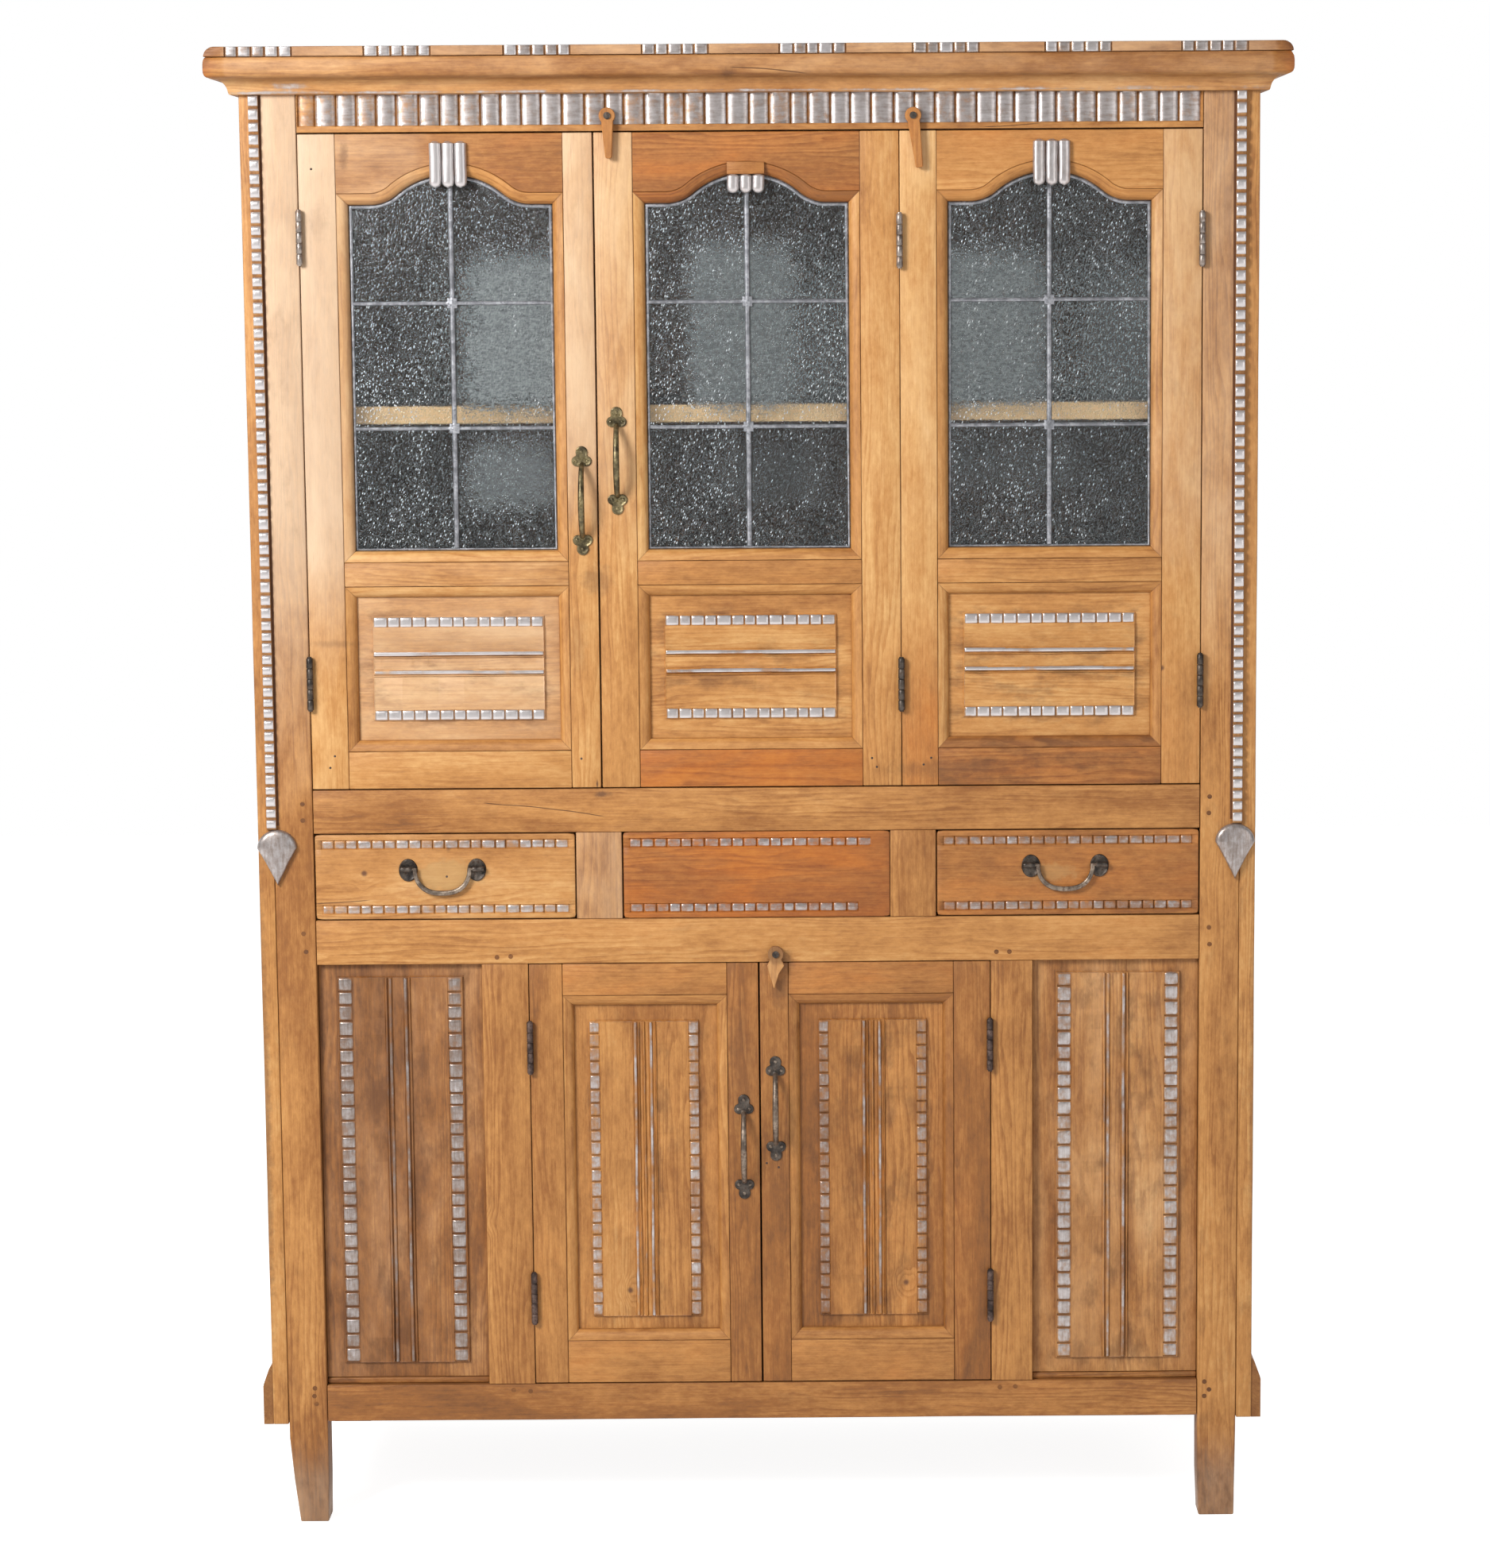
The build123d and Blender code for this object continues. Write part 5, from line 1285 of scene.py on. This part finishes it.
def makePull(side):
    # two oval plates with bosses and an eye, and a flattened swan bail between them
    low, high = nodeBox(f"{side}_drawer_bail")
    x, z, y = (low[0] + high[0]) / 2, pull["z"], faceY - pull["proud"]

    def oval(angle):
        return 1 / np.sqrt((np.cos(angle) / pull["oval"][0]) ** 2 + (np.sin(angle) / pull["oval"][1]) ** 2)

    def line(px, pz):
        return np.stack(np.broadcast_arrays(px, y, pz), -1)

    shapes, pins = [], []
    for way in (-1, 1):
        px = x + way * pull["half"]

        def bosses(bx, bz):
            return sum(1.6 * np.exp(-((bx - px) ** 2 + (bz - pull["plateZ"] - dz) ** 2) / 9)
                       for dz in pull["bosses"])

        shapes.append(dome(px, pull["plateZ"], oval, pull["plate"], 48, bumps=bosses, seed=31))
        inner, outer = pull["eye"]
        radii = 4.2 * np.array([0.85, 1, 1, 0.96, 0.94, 0.96, 1, 1, 0.8])
        eye = line(x + way * np.linspace(inner, outer, 9), z)
        shapes.append(tube(eye, radii, (0, 1, 0), 18, seed=32))
        pin = line(x + way * np.linspace(pull["swing"] - 1, pull["swing"] + 11, 4), z)
        pins.append(tube(pin, 2.2, (0, 1, 0), 10, seed=34))
    makePiece(f"{side}.pullPlates", shapes, (f"{side}_drawer_pull_plates",), f"{side}_drawer", iron,
              50)
    angle = np.linspace(0, np.pi, 61)
    bow = np.abs(np.cos(angle))
    px = x + np.sign(np.cos(angle)) * bow ** 0.8 * pull["swing"]
    pz = z + 1.5 - (pull["dropBy"] - 1) * np.sin(angle) ** 0.9
    wire = tube(line(px, pz), 3.7 - 0.5 * bow ** 3, (0, 1, 0), flatten=0.62, seed=33)
    makePiece(f"{side}.bail", [wire, *pins], (f"{side}_drawer_bail",), f"{side}_bail", wornIron, 50)


for side in ("left", "right"):
    makePull(side)

hinges = {"length": 76.2, "proud": 6, "radius": 4.8, "gap": 2.6, "leaf": 1, "deep": 22}
# of each node: its body, then for each leaf the axis, the levels, the side of the gap and its knuckles out
# of five
threeOf, twoOf = (0, 2, 4), (1, 3)
hingeLeaves = {
    "post_hinges": ("carcase", ((-644.7, (1256, 1896), -1, threeOf), (644.7, (1253, 1887), 1, threeOf),
                                (-335.2, (341, 718), -1, threeOf), (339.2, (341, 718), 1, threeOf))),
    "left_door_hinges": ("left_door", ((-644.7, (1256, 1896), 1, twoOf),)),
    "centre_door_hinges": ("centre_door", ((212, (1250, 1887), -1, twoOf),)),
    "right_door_hinges": ("right_door", ((644.7, (1253, 1887), -1, twoOf), (212, (1250, 1887), 1, threeOf))),
    "lower_left_door_hinges": ("lower_left_door", ((-335.2, (341, 718), 1, twoOf),)),
    "lower_right_door_hinges": ("lower_right_door", ((339.2, (341, 718), -1, twoOf),))}


def turned(x, y, levels, radii):
    # a turned form: radii at levels on an upright axis
    angle = np.linspace(0, 2 * np.pi, 20, endpoint=False)
    radii, levels = np.array([radii, levels], float)[..., None]
    rings = np.broadcast_arrays(x + radii * np.cos(angle), y + radii * np.sin(angle), levels)
    return sweep(np.stack(rings, -1))


def makeLeaf(axis, z, side, own):
    # a hinge leaf with its own knuckles; the one with three of them also holds the pin
    half, r, y = hinges["length"] / 2, hinges["radius"], faceY - hinges["proud"]
    pitch = hinges["length"] / 5
    plate = sorted((axis + side * hinges["gap"] / 2, axis + side * (hinges["gap"] / 2 - hinges["leaf"])))
    shapes = [board(plate, (0.7, hinges["deep"]), (z - half, z + half), rounding=0.3, uneven=0)]
    for index in own:
        bottom = z - half + index * pitch
        top = bottom + pitch
        levels = (bottom + 0.15, bottom + 0.3, bottom + 1.1, top - 1.1, top - 0.3, top - 0.15)
        shapes.append(turned(axis, y, levels, (r - 1.2, r - 0.6, r, r, r - 0.6, r - 1.2)))
        shapes.append(board(plate, (-hinges["proud"], 0.8), (bottom + 0.4, top - 0.4), rounding=0.3,
                            uneven=0))
    if own == threeOf:
        levels = (z - half - 1.8, z - half - 1.5, z - half + 0.1,
                  z + half - 0.1, z + half + 1.5, z + half + 1.8)
        shapes.append(turned(axis, y, levels, (2.2, 3.2, 3.4, 3.4, 3.2, 2.2)))
    return shapes


for node, (body, leaves) in hingeLeaves.items():
    groups = {"upper": [], "middle": [], "lower": []}
    for axis, levels, side, own in leaves:
        for z in levels:
            groups["upper" if z > 1600 else "middle" if z > 1000 else "lower"] += makeLeaf(axis, z, side, own)
    for (name, shapes), metal in zip(groups.items(), (steel, iron, rustyIron)):
        if shapes:
            makePiece(f"{node}.{name}", shapes, (node,), body, metal, 50)

cames = {"bars": (1623, 1802), "depth": 14.1, "rim": 5.2, "sideRim": 3.2, "proud": 2.2, "upright": (3.7, 0.8),
         "level": (2.8, 0.9),
         "rosette": ((1.0, 0), (1.0, 2.0), (0.85, 2.9), (0.6, 2.6), (0.35, 3.2), (0.05, 3.6))}


def makeCames(door):
    # a rounded rim that follows the opening, an upright bar, two level ones and a rosette at each crossing
    centre, depth, (z0, z1) = centres[door], cames["depth"], doors["glassZ"]
    x0, x1 = -doors["half"], doors["half"]
    lines = []
    for share in np.linspace(0, 1, 7):
        ax, az = archLine(-0.3 - cames["rim"] * share)
        inset = 0.3 + cames["sideRim"] * share
        lines.append((np.concatenate([[x0 + inset, x1 - inset], ax]), np.concatenate([[z0 + inset] * 2, az]),
                      depth - cames["proud"] * np.sin(np.pi * share) ** 0.6))
    rim = archRows(centre, lines)
    rim = np.concatenate([rim, rim[:1]])
    shapes = [closedShape(rim, [meshFaces(*rim.shape[:2], wrap=True)], seed=41)]
    bars = [((0, z0 + 4), (0, z1 + doors["rise"] - 4), cames["upright"])]
    bars += [((x0 + 4, z), (x1 - 4, z), cames["level"]) for z in cames["bars"]]
    t = np.linspace(0, 1, 12)
    for (ax, az), (bx, bz), (width, flatten) in bars:
        path = np.broadcast_arrays(centre + ax + (bx - ax) * t, faceY + depth, az + (bz - az) * t)
        shapes.append(tube(np.stack(path, -1), width, (0, 1, 0), 12, flatten, 42))
    for z in cames["bars"]:
        shapes.append(dome(centre, z, lambda angle: 8.8 + 1.0 * np.cos(8 * angle), cames["rosette"], 64,
                           depth, seed=43))
    makePiece(f"{door}.cames", shapes, (f"{door}_came",), door, lead, 55)


for door in centres:
    makeCames(door)

# small round heads, level with the wood: places on each body
nails = {"left_door": ((-612, 1150), (-619, 1133), (-254, 1144), (-626, 1993)),
         "centre_door": ((175.5, 1129), (168.6, 1142)), "right_door": ((243.6, 1132), (254.7, 1141.7)),
         "lower_right_door": ((10, 541.5), (27.5, 535)), "left_drawer": ((-453, 972),)}
nailHead = {"radius": 1.7, "profile": ((1, -0.6), (1, 0.1), (0.7, 0.2), (0.1, 0.2))}
for body, heads in nails.items():
    shapes = [dome(x, z, nailHead["radius"], nailHead["profile"], 12, seed=int(z)) for x, z in heads]
    makePiece(f"{body}.nails", shapes, (), body, rustyIron, 50)
print("metal made")


# materials of the frame's own nodes; the inner ones are darkened with painted shade, the seen upper
# shelf has a raw front edge painted pale as light, and the lower button a pale tip
shelfEdge = {"y": (faceY + 47.5) / 1000, "z": (1.6285, 1.6545)}


def rawEdgeAndLight(shader, y, z):
    low, high = shelfEdge["z"]
    return shader.under(y, shelfEdge["y"]) * shader.over(z, low) * shader.under(z, high)


buttonWood = plainWood("buttonWood", "z", 0.0, 0.45)
pegWood = plainWood("pegs", "x", -0.7, 0.0, 1.0)
boxWood = plainWood("drawerBoxes", "y", -0.1, 0.0, 0.5)
assign = {"inner_boards": plainWood("innerBoards", "x", -0.5, 0.0, 0.7, 0.78, rawEdgeAndLight),
          "inner_battens": plainWood("innerBattens", "y", -0.5, 0.0, 0.8, 0.75),
          "rear_frame": plainWood("rearFrame", "z", -0.6, 0.0, 0.9, 0.35),
          "joint_pegs": pegWood, "left_drawer_box": boxWood, "right_drawer_box": boxWood,
          "button_screws": iron, "top_left_button": buttonWood, "top_right_button": buttonWood,
          "lower_button": plainWood("paleButtonWood", "z", -0.12, -0.22, 0.4,
                                    dirtAt=lambda shader, z: shader.smooth(z, 0.836, 0.85) * 0.95)}
for door, centre in centres.items():
    assign[f"{door}_glass"] = glassMaterial(f"castGlass.{door}", door, centre / 1000)
for name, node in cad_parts.items():
    if not node.hide_render:
        node.data.materials.clear()
        node.data.materials.append(assign.get(name, boards))
print("frame nodes finished")


# floor, world and lamps; a lamp has its place, size and power
stage = {"floorSize": 14, "ambient": 0.44, "front": 0.3, "floorGlow": 0.88, "aim": (0, 0, 1.1),
         "lamps": {"key": ((-2.4, -3.1, 3.0), 1.2, 160), "fill": ((2.8, -4.2, 1.7), 2.4, 34)}}


def makeFloor():
    # matte under the lamps, and near white to the camera, to glossy surfaces and through the glass
    shader = newShader("floor")
    ray = shader.node("LightPath")
    glossy, through = ray.out("Is Glossy Ray"), ray.out("Is Transmission Ray")
    seen = shader.most(ray.out("Is Camera Ray"), shader.most(glossy, through))
    matte = shader.node("BsdfDiffuse", {0: (0.6, 0.6, 0.6, 1)})
    glow = shader.node("Emission", {0: (1, 1, 1, 1), 1: seen * stage["floorGlow"]})
    shader.output(shader.node("AddShader", {0: matte, 1: glow}))
    half = stage["floorSize"] / 2
    mesh = bpy.data.meshes.new("floor")
    corners = [(-half, -half, 0), (half, -half, 0), (half, half, 0), (-half, half, 0)]
    mesh.from_pydata(corners, [], [(0, 1, 2, 3)])
    mesh.materials.append(shader.owner)
    floor = bpy.data.objects.new("floor", mesh)
    bpy.context.scene.collection.objects.link(floor)


def makeWorld():
    # white where the camera or the glass sees it, even and dimmer as light; its mirror image is white behind
    # the object and dim in front
    world = bpy.data.worlds.new("studio")
    bpy.context.scene.world = world
    sky = Shader(world)
    ray = sky.node("LightPath")
    ahead = sky.split(sky.node("TexCoord"))[1]
    mirror = stage["front"] + sky.smooth(ahead, -0.3, 0.25) * (1 - stage["front"])
    level = stage["ambient"] + ray.out("Is Glossy Ray") * (mirror - stage["ambient"])
    level = level + sky.most(ray.out("Is Camera Ray"), ray.out("Is Transmission Ray")) * (1 - level)
    sky.output(sky.node("Background", {0: (1, 1, 1, 1), 1: level}), "OutputWorld")


def makeLamp(name, place, size, power):
    data = bpy.data.lights.new(name, "AREA")
    data.size, data.energy = size, power
    lamp = bpy.data.objects.new(name, data)
    lamp.location = place
    x, y, z = np.array(stage["aim"]) - place
    lamp.rotation_euler = (math.atan2(math.hypot(x, y), -z), 0, math.atan2(y, x) - math.pi / 2)
    bpy.context.scene.collection.objects.link(lamp)


makeFloor()
makeWorld()
for name, values in stage["lamps"].items():
    makeLamp(name, *values)

view = {"place": (0.1139, faceY / 1000 - 5.5696, 1.8303), "pitch": 0.12965, "yaw": 0.003558,
        "roll": -0.006542, "focal": 4858.8, "height": 1974, "shift": 130, "sensor": 36}
cameraData = bpy.data.cameras.new("camera")
cameraData.lens = view["focal"] / view["height"] * view["sensor"]
cameraData.sensor_width = view["sensor"]
cameraData.shift_x = -view["shift"] / view["height"]
camera = bpy.data.objects.new("camera", cameraData)
camera.matrix_world = (Matrix.Translation(view["place"]) @ Matrix.Rotation(-view["yaw"], 4, "Z")
                       @ Matrix.Rotation(math.pi / 2 - view["pitch"], 4, "X")
                       @ Matrix.Rotation(view["roll"], 4, "Z"))
bpy.context.scene.collection.objects.link(camera)
bpy.context.scene.camera = camera
bpy.context.scene.view_settings.view_transform = "Standard"
print("stage and camera set")
